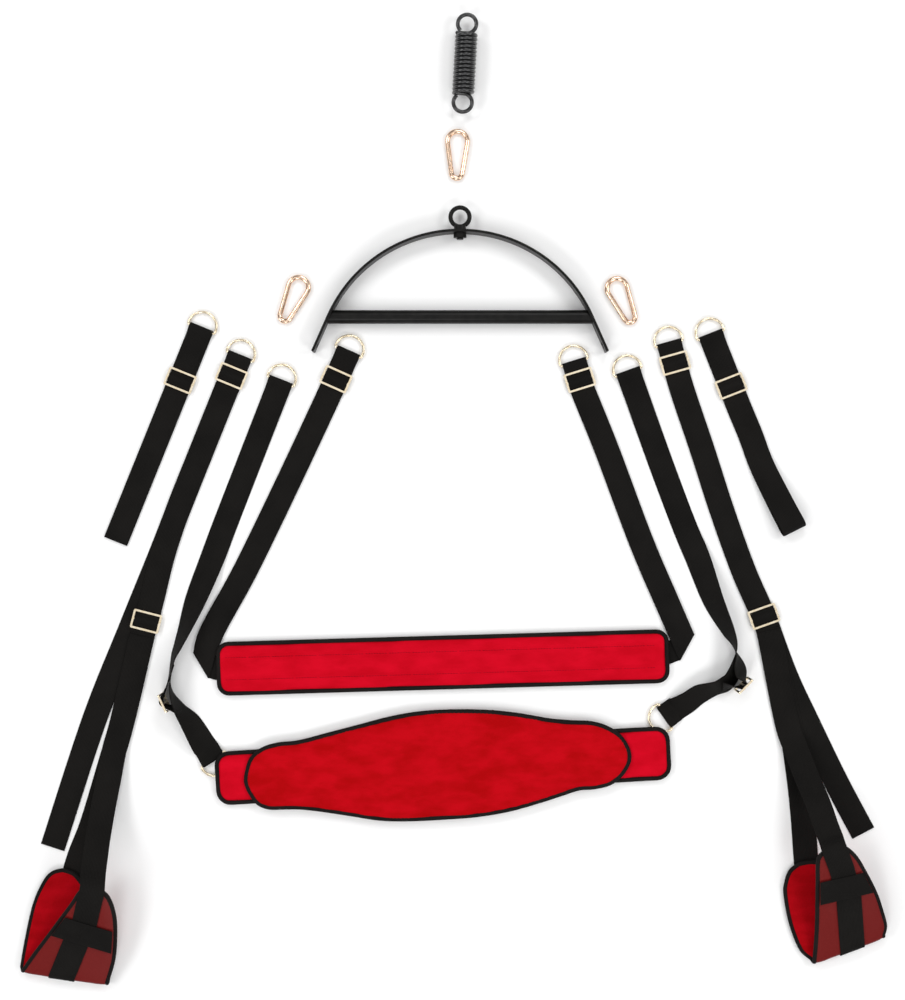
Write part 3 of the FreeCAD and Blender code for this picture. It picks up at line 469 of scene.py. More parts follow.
def stitch_row(name, points, material, body, slot):
    """Thread stitches along a line of (centre, up); each is a small rounded bar."""
    rows, faces = [], []
    run = 0.0
    for (start, up), (end, _) in zip(points, points[1:]):
        ahead = end - start
        span = ahead.length
        if span < 1e-6:
            continue
        ahead.normalize()
        side = up.cross(ahead).normalized()
        while run + STITCH_LONG <= span:
            base = start + ahead * run
            first = len(rows)
            for step, size in ((0.0, 0.35), (0.25, 1.0), (0.75, 1.0), (1.0, 0.35)):
                centre = base + ahead * (STITCH_LONG * step) + up * (0.12 * size)
                for a, b in ((1, 0), (0, 1), (-1, 0), (0, -1)):
                    rows.append(centre + side * (STITCH_WIDE * a * size)
                                + up * (STITCH_WIDE * b * size))
            for ring in range(3):
                for k in range(4):
                    a = first + ring * 4 + k
                    b = first + ring * 4 + (k + 1) % 4
                    faces.append((a, b, b + 4, a + 4))
            faces.append((first + 3, first + 2, first + 1, first))
            faces.append((first + 12, first + 13, first + 14, first + 15))
            run += STITCH_LONG + STITCH_GAP
        run = max(0.0, run - span)
    piece = new_piece(name, rows, faces, material)
    soft_shaded(piece, 70)
    return belongs(piece, body, slot)


def stitched_box(name, centre, angle, size, height, body):
    """A box of stitches with its two diagonals, sewn through a strap."""
    long, wide = size
    ahead, side = toward(angle), toward(angle + 90)
    middle = Vector((centre[0], centre[1], height))
    corners = [middle + ahead * (long / 2 * a) + side * (wide / 2 * b)
               for a, b in ((-1, -1), (1, -1), (1, 1), (-1, 1))]
    order = [0, 1, 2, 3, 0, 2, 3, 1]
    stitch_row(name, [(corners[k], UP) for k in order], BLACK_THREAD, body, "black_webbing")


# --- ceiling spring
SPRING_FOOT, SPRING_LEAN = (14.8, 618.4), 86.8
SPRING_WIRE, SPRING_MEAN, SPRING_HEIGHT = 6.0, 14.25, 17.25
COIL_START, COIL_PITCH, COIL_TURNS = 1.5, 6.134, 15


def make_spring():
    """The closed coil, from the bar of one end loop to the bar of the other."""
    axis, across = toward(SPRING_LEAN), toward(SPRING_LEAN + 90)
    foot = Vector((*SPRING_FOOT, SPRING_HEIGHT))
    stations = []
    per_turn = 36
    for k in range(COIL_TURNS * per_turn + 1):
        turn = 2 * pi * k / per_turn
        out = across * cos(turn) + UP * sin(turn)
        centre = foot + axis * (COIL_START + COIL_PITCH * k / per_turn) + out * SPRING_MEAN
        stations.append((centre, out, axis))
    coil = sweep("spring_coil_wire", stations, oval_profile(SPRING_WIRE / 2, SPRING_WIRE / 2, 12),
                 SPRING_BLACK)
    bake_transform(coil)
    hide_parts("spring_coil")


# --- webbing straps
LOOP_BEND, LOOP_RISE, LOOP_OUT = 10.2, 11.2, 8.0
LOOP_HEIGHTS = (4.0, 13.0, 19.6)
SLIDE_TALL = 29.5
WAVE_REACH, WAVE_BASE, WAVE_TOP = 11.3, 2.9, 7.8
ADJUSTERS = {"left": (-476, -203), "right": (482, -195)}


def along(route, distance):
    """The point at a distance along a route, and the angle there."""
    for a, b in zip(route, route[1:]):
        step = hypot(b[0] - a[0], b[1] - a[1])
        if distance <= step:
            return walk(a, heading(a, b), distance), heading(a, b)
        distance -= step
    raise ValueError("the route is shorter than that")


def wave(body, point, angle):
    """The short rise of webbing over a slide's middle bar."""
    path = []
    for k in range(-6, 7):
        step = WAVE_REACH * k / 6
        height = WAVE_BASE + (WAVE_TOP - WAVE_BASE) * cos(pi * step / (2 * WAVE_REACH)) ** 2
        path.append((Vector((*point, 0)) + toward(angle) * step + UP * height,
                     toward(angle + 90)))
    webbing(body + "_wave", path, body, width=WEBBING - 0.5, spacing=2.0)


def make_hand_straps():
    webbing("left_hand_webbing", doubled(LEFT_HAND, LEFT_HAND), "left_hand", "left_hand_strap")

    # The right strap is one closed length: it turns over at its end and stands open there.
    angle = heading(RIGHT_HAND[-2], RIGHT_HAND[-1])
    end = Vector((*walk(RIGHT_HAND[-1], angle, LOOP_OUT), LOOP_RISE))
    bend = []
    for turn in range(90, -91, -20):
        out = toward(angle) * cos(radians(turn)) + UP * sin(radians(turn))
        bend.append((end + out * LOOP_BEND, toward(angle + 90)))
    raised = []
    for (centre, side), height in zip(lay(RIGHT_HAND, 0)[-3:], LOOP_HEIGHTS):
        raised.append((centre + UP * height, side))
    path = around_bar(RIGHT_HAND[0], heading(RIGHT_HAND[0], RIGHT_HAND[1]))
    path += lay(RIGHT_HAND[:4], HIGH, HIGH_FROM) + raised + bend
    path += list(reversed(lay(RIGHT_HAND, LOW, LOW_FROM)))
    webbing("right_hand_webbing", path, "right_hand", "right_hand_strap", closed=True)

    for name, route in (("left_hand", LEFT_HAND), ("right_hand", RIGHT_HAND)):
        wave(name + "_slide", *along(route, SLIDE_STEPS[name]))
        stitched_box(name + "_bar_tack", *along(route, 48), (26, 30), HIGH + THICK / 2, name)


def make_leg_straps():
    routes = {"left": (LEFT_LEG, LEFT_TAIL), "right": (RIGHT_LEG, RIGHT_TAIL)}
    for side, (leg, tail) in routes.items():
        name = side + "_leg"
        webbing(name + "_webbing", doubled(tail, leg), name, name + "_strap")
        wave(name + "_slide", *along(leg, SLIDE_STEPS[name]))
        angle = heading(leg[-2], leg[-1])
        wave(name + "_adjuster", walk(ADJUSTERS[side], angle, -SLIDE_TALL / 2), angle)


def fold_end(side):
    """The middle of a seat strap's fold line, and its side vector along that line."""
    corner, fold = SEAT_FOLDS[side]
    line = toward(fold)
    middle = Vector((*corner, 0)) + line * FOLD_WIDE / 2
    return middle, line * FOLD_WIDE / WEBBING


def make_seat_straps():
    """Each strap comes down to its fold line; the webbing under the band starts there."""
    axis = toward(SEAT_TILT)
    square = toward(SEAT_TILT + 90)
    middle = Vector((*SEAT_CENTRE, LOW))
    under = [(middle + axis * step, square) for step in (-330, -200, 0, 200, 318)]
    for side, route in (("left", LEFT_SEAT), ("right", RIGHT_SEAT)):
        name = side + "_seat"
        fold, skew = fold_end(side)
        across = skew if skew.dot(side_at(route, len(route) - 1)) > 0 else -skew
        lower = lay(route, LOW, LOW_FROM)
        upper = lay(route, HIGH, HIGH_FROM)
        lower[-1][0].z += 0.9
        upper[-1][0].z += 0.9
        lower.append((fold + UP * HIGH, across))
        upper.append((fold + UP * (HIGH + 1.7), across))
        path = list(reversed(lower)) + around_bar(route[0], heading(route[0], route[1])) + upper
        webbing(name + "_webbing", path, name, name + "_strap")
        wave(name + "_slide", *along(route, SLIDE_STEPS[name]))
        inward = axis if side == "left" else -axis
        turned = skew if skew.dot(square) > 0 else -skew
        end = [(fold + UP * 2.3, turned), (fold - inward * 0.8 + UP * 1.55, turned),
               (fold + UP * LOW, turned)]
        under = end + under if side == "left" else under + list(reversed(end))
    webbing("seat_under_webbing", under, "seat", "seat_band_webbing")


def rolled(stations):
    """Stations of (centre, side) from (x, y, roll), with the strip's lower edge on the floor."""
    flat = [station[:2] for station in stations]
    path = []
    for i, (x, y, angle) in enumerate(stations):
        roll = radians(angle)
        rest = WEBBING / 2 * abs(sin(roll)) + THICK / 2 * abs(cos(roll))
        path.append((Vector((x, y, rest)), side_at(flat, i) * cos(roll) + UP * sin(roll)))
    return path


def make_back_straps():
    """Webbing that makes half a twist from the upper ring to the ring on the back band."""
    for side, stations, threaded in (("left", LEFT_BACK, LEFT_THREADED),
                                     ("right", RIGHT_BACK, RIGHT_THREADED)):
        name = side + "_back"
        flat = [station[:2] for station in stations]
        leaving = heading(flat[0], flat[1])
        sleeve = [walk(flat[0], leaving, step) for step in (34, LOW_FROM)]
        path = [(Vector((x, y, LOW)), toward(leaving + 90)) for x, y in sleeve]
        path += around_bar(flat[0], leaving)
        for step, height in ((28, HIGH), (44, 1.9)):
            x, y = walk(flat[0], leaving, step)
            path.append((Vector((x, y, height)), toward(leaving + 90)))
        path += rolled(stations)[1:-1]
        arriving = heading(flat[-2], flat[-1])
        last = list(reversed(around_bar(flat[-1], arriving + 180)))
        path[-1] = (path[-1][0].lerp(last[0][0], 0.35), path[-1][1])
        path += last
        for step in (14, 22):
            x, y = walk(flat[-1], arriving + 180, step)
            path.append((Vector((x, y, LOW)), toward(arriving - 90)))
        webbing(name + "_webbing", path, name, name + "_strap", spacing=3.0)
        webbing(name + "_slide_turn", rolled(threaded), name, width=WEBBING - 1, spacing=2.0)


# --- padded pieces
OUTLINE_STEP = 7.0
PAD_INSET = 3.4             # of a pad inside the outline of its binding
SEAT_PAD, WING_PAD, CUSHION_PAD = (3.4, 8.4), (3.6, 8.6), (9.4, 14.6)    # heights of the faces
VOXEL = 4.5
SWELL_FRAMES = 20
SEAT_LINES = (17.0, -17.0)
SEAT_LINE_REACH = 334.0
RING_LIFT, RING_SPREAD = 3.6, 34.0


def rounded_outline(size, corner, centre, tilt):
    """A rectangle with round corners, counterclockwise, placed in the layout."""
    half = (size[0] / 2 - corner, size[1] / 2 - corner)
    points = []
    for sx, sy, start in ((1, 1, 0), (-1, 1, 90), (-1, -1, 180), (1, -1, 270)):
        for k in range(7):
            points.append(walk((sx * half[0], sy * half[1]), start + 15 * k, corner))
    dense = []
    for a, b in zip(points, points[1:] + points[:1]):
        gap = hypot(b[0] - a[0], b[1] - a[1])
        parts = max(1, round(gap / OUTLINE_STEP))
        for k in range(parts):
            dense.append((a[0] + (b[0] - a[0]) * k / parts, a[1] + (b[1] - a[1]) * k / parts))
    ahead, square = toward(tilt), toward(tilt + 90)
    return [(centre[0] + x * ahead.x + y * square.x, centre[1] + x * ahead.y + y * square.y)
            for x, y in dense]


def inset(outline, distance):
    """A closed counterclockwise outline, moved inwards."""
    moved = []
    count = len(outline)
    for i, point in enumerate(outline):
        way = heading(outline[i - 1], outline[(i + 1) % count])
        moved.append(walk(point, way + 90, distance))
    return moved


def line_distance(points, start, end):
    """The distance from each point to a straight line between two others, as numpy arrays."""
    way = end - start
    part = np.clip(((points - start) @ way) / (way @ way), 0, 1)
    away = points - (start + part[:, None] * way)
    return np.hypot(away[:, 0], away[:, 1])


def edge_distance(points, outline):
    """The distance from each point to a closed outline."""
    corners = np.array(outline, float)
    nearest = np.full(len(points), 1e9)
    for start, end in zip(corners, np.roll(corners, -1, axis=0)):
        nearest = np.minimum(nearest, line_distance(points, start, end))
    return nearest


def coordinates(mesh):
    flat = np.zeros(len(mesh.vertices) * 3)
    mesh.vertices.foreach_get("co", flat)
    return flat.reshape(-1, 3) / MM


def set_coordinates(mesh, points):
    mesh.vertices.foreach_set("co", (points * MM).ravel())
    mesh.update()


def bake(piece):
    """Applies the piece's modifiers to its mesh."""
    seen = piece.evaluated_get(bpy.context.evaluated_depsgraph_get())
    mesh = bpy.data.meshes.new_from_object(seen)
    piece.modifiers.clear()
    piece.data = mesh


def slab(name, outline, low, high, material):
    count = len(outline)
    points = [(x, y, low) for x, y in outline] + [(x, y, high) for x, y in outline]
    faces = [tuple(reversed(range(count))), tuple(range(count, 2 * count))]
    faces += [(k, (k + 1) % count, (k + 1) % count + count, k + count) for k in range(count)]
    return new_piece(name, points, faces, material)


def puff(piece, outline, cap, hold):
    """Swells a closed form by a cloth simulation, its rim held and its movement capped."""
    remesh = piece.modifiers.new("remesh", "REMESH")
    remesh.mode = "VOXEL"
    remesh.voxel_size = VOXEL * MM
    bake(piece)
    rest = coordinates(piece.data)
    rim = edge_distance(rest[:, :2], outline)
    held = piece.vertex_groups.new(name="held")
    held.add([int(k) for k in np.nonzero(rim < hold)[0]], 1.0, "REPLACE")
    cloth = piece.modifiers.new("cloth", "CLOTH")
    cloth.settings.quality = 4
    cloth.settings.mass = 0.15
    cloth.settings.use_pressure = True
    cloth.settings.uniform_pressure_force = 4.0
    cloth.settings.vertex_group_mass = "held"
    cloth.settings.effector_weights.gravity = 0.0
    cloth.point_cache.frame_start = 1
    cloth.point_cache.frame_end = SWELL_FRAMES
    for number in range(1, SWELL_FRAMES + 1):
        bpy.context.scene.frame_set(number)
    bake(piece)
    bpy.context.scene.frame_set(1)
    moved = coordinates(piece.data) - rest
    size = np.linalg.norm(moved, axis=1, keepdims=True) + 1e-9
    set_coordinates(piece.data, rest + moved / size * cap * np.tanh(size / cap))


def smoothed(piece):
    piece.modifiers.new("finer", "SUBSURF").levels = 1
    bake(piece)
    soft_shaded(piece, 180)


def swollen_pad(name, outline, faces, cap, material, hold=4.0):
    """A pad with its points, which of them are on its upper face, and how far from its rim."""
    inner = inset(outline, PAD_INSET)
    pad = slab(name, inner, *faces, material)
    puff(pad, inner, cap, hold)
    smoothed(pad)
    points = coordinates(pad.data)
    return pad, points, points[:, 2] > sum(faces) / 2, edge_distance(points[:, :2], inner)


def undulate(points, height, size, seed):
    """Small uneven swellings, added to the upper face."""
    out = points.copy()
    for k, (x, y, _) in enumerate(points):
        out[k, 2] += height * noise.noise(Vector((x / size, y / size, seed)))
    return out


def seam(points, start, end, depth, width):
    """Presses a sewn line into the upper face."""
    gap = line_distance(points[:, :2], np.array(start), np.array(end))
    points[:, 2] -= depth * np.exp(-((gap / width) ** 2))
    return points


def binding(name, outline, height, wide, tall, body, lift=None):
    """The black tape that wraps a pad's rim, with its row of stitches."""
    centre_line = inset(outline, wide)
    stations, stitches = [], []
    count = len(outline)
    for i, (x, y) in enumerate(centre_line):
        way = heading(centre_line[i - 1], centre_line[(i + 1) % count])
        level = height + (lift(x, y) if lift else 0.0)
        out = toward(way - 90)
        centre = Vector((x, y, level))
        stations.append((centre, out, UP))
        stitches.append((centre - out * (wide * 0.55) + UP * (tall * 0.86), UP))
    rim = sweep(name, catmull(stations, 4.0, True), oval_profile(wide, tall), BLACK_BINDING, True)
    belongs(rim, body, "black_webbing")
    stitch_row(name + "_stitches", stitches + stitches[:1], BLACK_THREAD, body, "black_webbing")


def near_rings(x, y):
    """How much the back band lifts over the rings under its upper edge."""
    return max(RING_LIFT * exp(-((x - a) ** 2 + (y - b) ** 2) / RING_SPREAD ** 2)
               for a, b in BAND_RINGS)


def make_seat_band():
    outline = rounded_outline(SEAT_SIZE, SEAT_CORNER, SEAT_CENTRE, SEAT_TILT)
    pad, points, upper, rim = swollen_pad("seat_pad", outline, SEAT_PAD, 3.2, BAND_RED)
    points[:, 2] += np.where(upper, 1.4, -0.9) * np.clip(rim / 16, 0, 1)
    points[upper] = undulate(points[upper], 0.9, 46.0, 1.0)
    ahead, square = toward(SEAT_TILT), toward(SEAT_TILT + 90)
    middle = Vector((*SEAT_CENTRE, 0))
    for across in SEAT_LINES:
        start = middle - ahead * SEAT_LINE_REACH + square * across
        end = middle + ahead * SEAT_LINE_REACH + square * across
        points[upper] = seam(points[upper], start[:2], end[:2], 1.5, 3.2)
    points[:, 2] = np.maximum(points[:, 2], 1.75)
    set_coordinates(pad.data, points)
    belongs(pad, "seat", "red_plush", "seat_band")
    binding("seat_binding", outline, 5.9, 3.3, 3.9, "seat")
    top = points[upper]
    for k, across in enumerate(SEAT_LINES):
        line = []
        for step in np.arange(-SEAT_LINE_REACH, SEAT_LINE_REACH + 1, 12.0):
            x, y = (middle + ahead * step + square * across)[:2]
            near = np.hypot(top[:, 0] - x, top[:, 1] - y).argmin()
            line.append((Vector((x, y, top[near, 2] + 0.1)), UP))
        stitch_row(f"seat_seam_{k + 1}", line, RED_THREAD, "seat", "red_plush")


def make_back_band():
    outline = rounded_outline(WING_SIZE, WING_CORNER, WING_CENTRE, WING_TILT)
    pad, points, upper, rim = swollen_pad("back_wings", outline, WING_PAD, 2.6, BAND_RED)
    points[:, 2] += np.where(upper, 1.0, -0.9) * np.clip(rim / 16, 0, 1)
    points[:, 2] += [near_rings(x, y) for x, y in points[:, :2]]
    points[:, 2] = np.clip(points[:, 2], 1.75, 13.5)
    under_cushion = edge_distance(points[:, :2], CUSHION_LINE) * inside(points[:, :2], CUSHION_LINE)
    points[:, 2] = np.where(under_cushion > 6, np.minimum(points[:, 2], 8.8), points[:, 2])
    set_coordinates(pad.data, points)
    belongs(pad, "back", "red_plush", "back_band")
    binding("back_binding", outline, 6.2, 3.3, 3.9, "back", near_rings)
    axis, square = toward(WING_TILT), toward(WING_TILT + 90)
    middle = Vector((*WING_CENTRE, LOW))
    path = [(middle + axis * step, square) for step in (-285, -95, 95, 285)]
    webbing("back_under_webbing", path, "back", "back_band_webbing")


def inside(points, outline):
    """1 for each point inside a closed outline and 0 outside it."""
    found = np.zeros(len(points), bool)
    x, y = points[:, 0], points[:, 1]
    for (ax, ay), (bx, by) in zip(outline, outline[1:] + outline[:1]):
        crosses = (ay > y) != (by > y)
        with np.errstate(divide="ignore", invalid="ignore"):
            found ^= crosses & (x < (bx - ax) * (y - ay) / (by - ay) + ax)
    return found.astype(float)


def smooth_line(points, spacing, closed=False):
    stations = [(Vector((x, y, 0)),) for x, y in points]
    return [tuple(centre[:2]) for (centre,) in catmull(stations, spacing, closed)]


CUSHION_LINE = list(reversed(smooth_line(CUSHION, 6.0, True)))


def make_cushion():
    """The wide back cushion: crowned in its middle, its rim lying lower than the band's top."""
    pad, points, upper, rim = swollen_pad(
        "back_cushion_pad", CUSHION_LINE, CUSHION_PAD, 5.0, CUSHION_RED, hold=4.5)
    crown = 1 - (1 - np.clip(rim / 58, 0, 1)) ** 2.4
    points[:, 2] += np.where(upper, 5.6, 0.6) * crown
    points[upper] = undulate(points[upper], 1.5, 62.0, 4.0)
    points[upper] = undulate(points[upper], 0.5, 21.0, 9.0)
    points[:, 2] = np.where(upper, np.minimum(points[:, 2], 25.5), np.maximum(points[:, 2], 8.9))
    set_coordinates(pad.data, points)
    belongs(pad, "back", "red_plush", "back_cushion")
    binding("back_cushion_binding", CUSHION_LINE, 11.8, 3.6, 3.8, "back")


# --- foot cuffs
CUFF_OPEN = 20.0
CUFF_RAISE = 1.7            # room for the strap sewn under a cuff
CUFF_FOLD = 4.0             # radius of the pad's middle in its fold
FOLD_LONG = CUFF_FOLD * radians(180 - CUFF_OPEN)
# Outlines from the fold to the tip, in the cuff's frame: along the fold, and away from it.
# The cross band is given by its corners, the other bands by their middle lines.
CUFFS = {
    "left": {
        "fold": ((-666, -719), -8.5),
        "under": ([(1, 0), (2, 43), (6, 97), (16, 134), (27, 151), (43, 158)],
                  [(139, 0), (132, 62), (104, 114), (74, 144), (60, 155), (43, 158)]),
        "over": ([(6, 0), (22, 33), (40, 67), (58, 102), (73, 131), (85, 156), (102, 170)],
                 [(139, 0), (146, 42), (146, 82), (142, 119), (132, 148), (120, 161), (102, 170)]),
        "cross": ((67, 109), (48, 73), (141, 57), (140, 96)),
        "down": ((87, 71), (68, 0)),
        "low_leg": [(-478, -209, 2.6), (-509, -341, 1.6), (-529, -410, LOW), (-556, -500, LOW),
                    (-576, -552, LOW), (-590, -600, LOW)],
        "high_leg": [(-479, -212, 4.3), (-509, -341, 3.4), (-521, -386, 6), (-528, -431, 15),
                     (-534, -474, 29), (-538, -516, 47), (-539, -537, 57), (-540, -558, 67)],
        "sewn": [(104, 179), (104, 160), (100, 131), (96, 97)],
    },
    "right": {
        "fold": ((554, -706), 20.4),
        "under": ([(-6, 0), (-16, 20), (-17, 62), (-9, 108), (0, 127), (12, 140), (28, 145)],
                  [(113, 0), (108, 48), (90, 96), (62, 132), (46, 142), (28, 145)]),
        "over": ([(-4, 0), (14, 52), (36, 128), (48, 169), (60, 179), (78, 184)],
                 [(113, 0), (120, 15), (121, 43), (120, 77), (114, 118), (107, 151), (95, 174),
                  (78, 184)]),
        "cross": ((42, 134), (32, 96), (114, 84), (108, 124)),
        "down": ((78, 97), (59, 0)),
        "low_leg": [(484, -201, 2.6), (517, -341, 1.6), (529, -410, LOW), (537, -480, LOW),
                    (542, -548, LOW), (546, -598, LOW)],
        "high_leg": [(485, -204, 4.3), (512, -341, 3.4), (526, -386, 11), (540, -429, 28),
                     (548, -450, 38), (555, -471, 48), (560, -491, 59), (566, -511, 70)],
        "sewn": [(77, 186), (78, 166), (79, 141), (78, 113)],
    },
}
CUFF_BAND_WIDTH = 39.0
BAND_LIFT, CROSS_LIFT = 5.0, 6.9    # of the bands' middles, from the pad's middle
CUFF_ROWS, CUFF_TURNS, CUFF_COLUMNS = 26, 8, 22     # of each flank, of the fold, and across


def cuff_place(side, u, w, lift=0.0):
    """A point of a cuff: u along the fold, w from the lower tip, below 0, to the raised one.

    Lift is the distance outwards from the pad's middle."""
    (x, y), angle = CUFFS[side]["fold"]
    centre_height = 2 * CUFF_FOLD + CUFF_RAISE
    if w < 0:
        away, height = -w, centre_height - CUFF_FOLD
        out = (0.0, -1.0)
    elif w < FOLD_LONG:
        turn = w / CUFF_FOLD
        out = (-sin(turn), -cos(turn))
        away, height = out[0] * CUFF_FOLD, centre_height + out[1] * CUFF_FOLD
    else:
        opened = radians(CUFF_OPEN)
        out = (-sin(opened), cos(opened))
        away = out[0] * CUFF_FOLD + (w - FOLD_LONG) * cos(opened)
        height = centre_height + out[1] * CUFF_FOLD + (w - FOLD_LONG) * sin(opened)
    away += out[0] * lift
    height += out[1] * lift
    ahead, square = toward(angle), toward(angle + 90)
    return Vector((x, y, 0)) + ahead * u + square * away + UP * height


def cuff_rim(side, edge):
    """One long edge of the opened-out leaf, from its lower tip to its raised tip, as (u, w)."""
    under = smooth_open(CUFFS[side]["under"][edge], CUFF_ROWS)
    over = smooth_open(CUFFS[side]["over"][edge], CUFF_ROWS)
    near, far = under[0][0], over[0][0]
    fold = [(near + (far - near) * k / CUFF_TURNS, FOLD_LONG * k / CUFF_TURNS)
            for k in range(1, CUFF_TURNS)]
    return ([(u, -v) for u, v in reversed(under)] + fold
            + [(u, FOLD_LONG + v) for u, v in over])


def smooth_open(points, count):
    """A smooth line through points, as count + 1 points at even steps of its length."""
    dense = np.array(smooth_line(points, 1.5))
    steps = np.hypot(*np.diff(dense, axis=0).T)
    run = np.concatenate([[0], np.cumsum(steps)])
    even = np.linspace(0, run[-1], count + 1)
    return list(zip(np.interp(even, run, dense[:, 0]), np.interp(even, run, dense[:, 1])))


def make_cuff_pad(side):
    """A leaf-shaped pad folded in two: plush inside, darkened as painted shade, satin outside,
    bound all round.
    """
    left, right = cuff_rim(side, 0), cuff_rim(side, 1)
    columns = CUFF_COLUMNS
    flat = [(a[0] + (b[0] - a[0]) * j / columns, a[1] + (b[1] - a[1]) * j / columns)
            for a, b in zip(left, right) for j in range(columns + 1)]
    rim = edge_distance(np.array(flat), left + list(reversed(right[1:-1])))
    points, kinds, faces = [], [], []
    for facing in (1, -1):
        for (u, w), gap in zip(flat, rim):
            swell = 1.5 + 2.3 * (1 - (1 - min(gap / 20, 1)) ** 2)
            ripple = 0.5 * noise.noise(Vector((u / 26, w / 26, facing * 3.0)))
            points.append(cuff_place(side, u, w, facing * (swell + ripple)))
    rows, wide = len(left), columns + 1
    size = rows * wide
    for layer in range(2):
        for i in range(rows - 1):
            for j in range(columns):
                a = layer * size + i * wide + j
                face = (a, a + 1, a + wide + 1, a + wide)
                faces.append(face if layer == 0 else tuple(reversed(face)))
                kinds.append(layer)
    ring = (list(range(columns)) + [i * wide + columns for i in range(rows - 1)]
            + [(rows - 1) * wide + j for j in range(columns, 0, -1)]
            + [i * wide for i in range(rows - 1, 0, -1)])
    for a, b in zip(ring, ring[1:] + ring[:1]):
        faces.append((b, a, a + size, b + size))
        kinds.append(0)
    # The inner layer gets the darker lining plush, which is painted shade inside the fold.
    pad = new_piece(side + "_cuff_shell", points, faces, SATIN, LINING_RED_PAINTED_SHADE)
    pad.data.polygons.foreach_set("material_index", kinds)
    turn_out(pad, weld=0.05)
    soft_shaded(pad, 70)
    belongs(pad, side + "_cuff", "cuff_satin", side + "_cuff_pad")


def make_cuff_binding(side):
    left, right = cuff_rim(side, 0), cuff_rim(side, 1)
    loop = left + list(reversed(right[1:-1]))
    count = len(loop)
    stations, stitches = [], []
    for i, (u, w) in enumerate(loop):
        (ua, wa), (ub, wb) = loop[i - 1], loop[(i + 1) % count]
        size = hypot(ub - ua, wb - wa)
        out_u, out_w = -(wb - wa) / size, (ub - ua) / size
        centre = cuff_place(side, u - out_u * 2.4, w - out_w * 2.4)
        outer = cuff_place(side, u + out_u * 0.6, w + out_w * 0.6)
        up = (cuff_place(side, u, w, 1.0) - cuff_place(side, u, w)).normalized()
        out = (outer - centre).normalized()
        stations.append((centre, out, up))
        stitches.append((centre - out * 1.9 + up * 2.8, up))
    rim = sweep(side + "_cuff_binding", catmull(stations, 4.0, True), oval_profile(3.4, 3.3),
                BLACK_BINDING, True)
    belongs(rim, side + "_cuff", "black_webbing")
    stitch_row(side + "_cuff_binding_stitches", stitches + stitches[:1], BLACK_THREAD,
               side + "_cuff", "black_webbing")


def on_cuff(side, route, lift):
    """Stations of (centre, side) on the outside of a cuff, along a route of (u, w)."""
    stations = []
    for i, (u, w) in enumerate(route):
        (ua, wa), (ub, wb) = route[max(0, i - 1)], route[min(len(route) - 1, i + 1)]
        size = hypot(ub - ua, wb - wa)
        su, sw = -(wb - wa) / size, (ub - ua) / size
        across = cuff_place(side, u + su, w + sw, lift) - cuff_place(side, u - su, w - sw, lift)
        stations.append((cuff_place(side, u, w, lift), across.normalized()))
    return stations


def make_cuff_webbing(side):
    """A band across the raised flank, over one that runs down it and round the fold."""
    cuff = CUFFS[side]
    body = side + "_cuff"
    (top_u, top_v), (foot_u, foot_v) = cuff["down"]
    lean = (foot_u - top_u) / (top_v - foot_v)
    route = [(top_u + (foot_u - top_u) * k / 6, FOLD_LONG + top_v + (foot_v - top_v) * k / 6)
             for k in range(7)]
    for w in list(np.linspace(FOLD_LONG, 0.0, 7)[1:]) + [-12.0, -30.0]:
        route.append((foot_u + lean * (FOLD_LONG - w), w))
    flat = [(Vector((u, w, BAND_LIFT)), toward(heading((foot_u, 0), (top_u, top_v)) - 90))
            for u, w in route]
    down = tape(body + "_down_band", flat, width=CUFF_BAND_WIDTH, thick=1.4, spacing=1.5)
    placed = [cuff_place(side, *point) for point in coordinates(down.data)]
    set_coordinates(down.data, np.array(placed))
    turn_out(down)
    belongs(soft_shaded(down), body, "black_webbing")

    corners = [cuff_place(side, u, FOLD_LONG + v, CROSS_LIFT) for u, v in cuff["cross"]]
    start_high, start_low, end_low, end_high = corners
    path = []
    for k in range(9):
        high, low = start_high.lerp(end_high, k / 8), start_low.lerp(end_low, k / 8)
        path.append(((high + low) / 2, (high - low) / CUFF_BAND_WIDTH))
    webbing(body + "_cross_band", path, body, body + "_webbing", width=CUFF_BAND_WIDTH, thick=1.5)


def make_cuff_straps(side):
    """The loop from the adjuster: one leg under the lower flank, one on the raised flank."""
    cuff = CUFFS[side]
    body = side + "_cuff"
    legs = {}
    for leg in ("low_leg", "high_leg"):
        flat = [point[:2] for point in cuff[leg]]
        legs[leg] = [(Vector(point), side_at(flat, i)) for i, point in enumerate(cuff[leg])]
    webbing(body + "_low_leg", legs["low_leg"], body, body + "_strap")
    sewn = on_cuff(side, [(u, FOLD_LONG + v) for u, v in cuff["sewn"]], BAND_LIFT)
    webbing(body + "_high_leg", legs["high_leg"] + sewn, body)


# --- finishes of the CAD nodes
def finish_metal():
    finishes = {"black_steel": BLACK_STEEL, "spring_steel": SPRING_BLACK,
                "rose_gold": ROSE_GOLD, "pale_gold": PALE_GOLD}
    slots = {part["node"]: part["material_slot"] for part in frame["record"]["subparts"]}
    for name, part in frame["nodes"].items():
        finish = finishes.get(slots.get(name))
        if finish is None:
            continue
        part.data.materials.clear()
        part.data.materials.append(finish)


# --- studio
# Places and sizes of the camera and the lights are metres.
CAMERA_HEIGHT = 2.6
VIEW_TALL = 1.54
FLOOR_REACH, FLOOR_HEIGHT = 6000, -0.3      # millimetres, like the pieces that lie on it
WORLD_LIGHT = 0.2
RING_LIGHTS = 6
RING_REACH, RING_HEIGHT = 2.2, 2.0
RING_SIZE, RING_POWER = 1.0, 19.0
OVERHEAD_HEIGHT, OVERHEAD_SIZE, OVERHEAD_POWER = 3.2, 2.7, 18.0


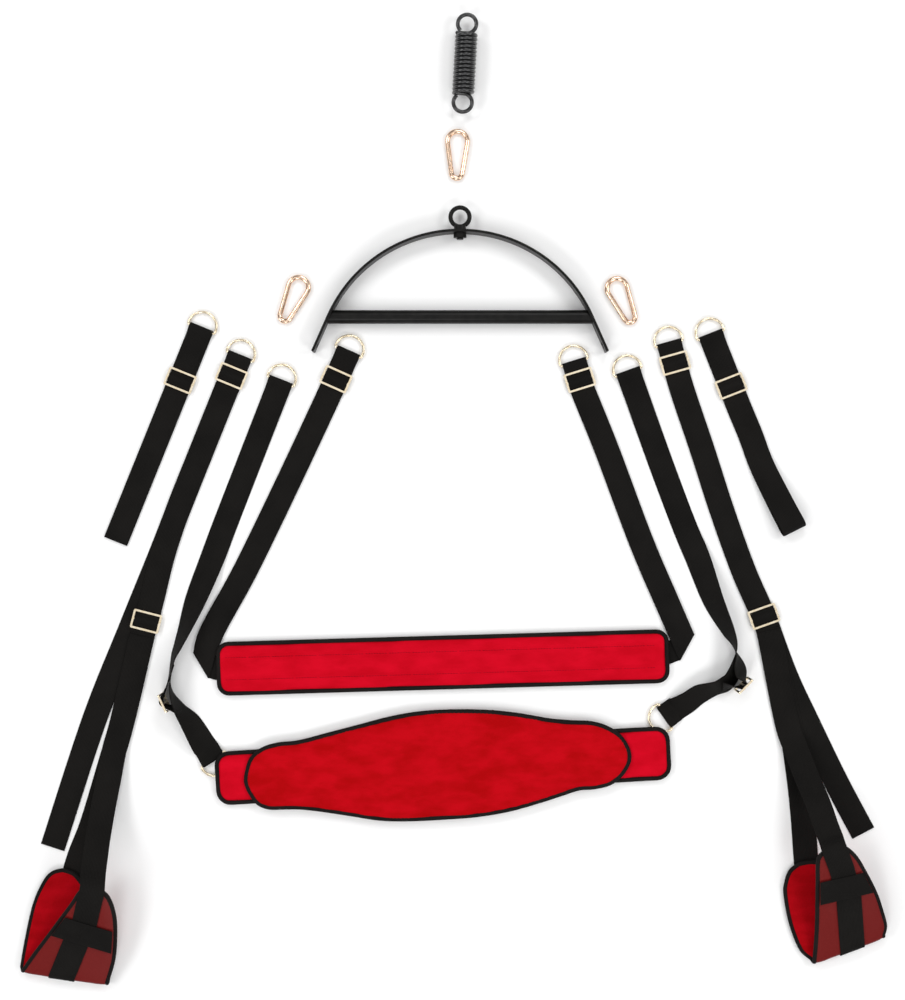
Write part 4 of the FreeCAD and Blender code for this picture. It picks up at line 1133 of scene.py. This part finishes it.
def softbox(name, place, size, power):
    """A square light that faces the middle of the floor."""
    data = bpy.data.lights.new(name, "AREA")
    data.shape = "SQUARE"
    data.size = size
    data.energy = power
    lamp = bpy.data.objects.new(name, data)
    lamp.location = place
    lamp.rotation_euler = (-place).to_track_quat("-Z", "Y").to_euler()
    bpy.context.scene.collection.objects.link(lamp)


def make_studio():
    camera = bpy.data.cameras.new("camera")
    camera.sensor_width = 36.0
    camera.lens = 36.0 * CAMERA_HEIGHT / VIEW_TALL
    eye = bpy.data.objects.new("camera", camera)
    eye.location = (-0.0015, -0.0023, CAMERA_HEIGHT)
    bpy.context.scene.collection.objects.link(eye)
    bpy.context.scene.camera = eye

    corners = [(FLOOR_REACH * a, FLOOR_REACH * b, FLOOR_HEIGHT)
               for a, b in ((-1, -1), (1, -1), (1, 1), (-1, 1))]
    floor = new_piece("floor", corners, [(0, 1, 2, 3)])
    pale = principled("floor_pale", Specular_IOR_Level=0.0)
    shader_of(pale).inputs["Base Color"].default_value = (0.93, 0.93, 0.93, 1)
    shader_of(pale).inputs["Roughness"].default_value = 0.9
    floor.data.materials.append(pale)

    world = bpy.data.worlds.new("studio")
    bpy.context.scene.world = world
    world.use_nodes = True
    background = world.node_tree.nodes["Background"]
    background.inputs["Color"].default_value = (1, 1, 1, 1)
    background.inputs["Strength"].default_value = WORLD_LIGHT
    softbox("overhead", UP * OVERHEAD_HEIGHT, OVERHEAD_SIZE, OVERHEAD_POWER)
    for k in range(RING_LIGHTS):
        place = toward(20 + 360 * k / RING_LIGHTS) * RING_REACH + UP * RING_HEIGHT
        softbox("ring_%d" % k, place, RING_SIZE, RING_POWER)
    bpy.context.scene.view_settings.view_transform = "Standard"


# --- everything
make_studio()
make_spring()
make_hand_straps()
make_leg_straps()
make_seat_straps()
make_back_straps()
make_seat_band()
make_back_band()
make_cushion()
for cuff_side in CUFFS:
    make_cuff_pad(cuff_side)
    make_cuff_binding(cuff_side)
    make_cuff_webbing(cuff_side)
    make_cuff_straps(cuff_side)
finish_metal()
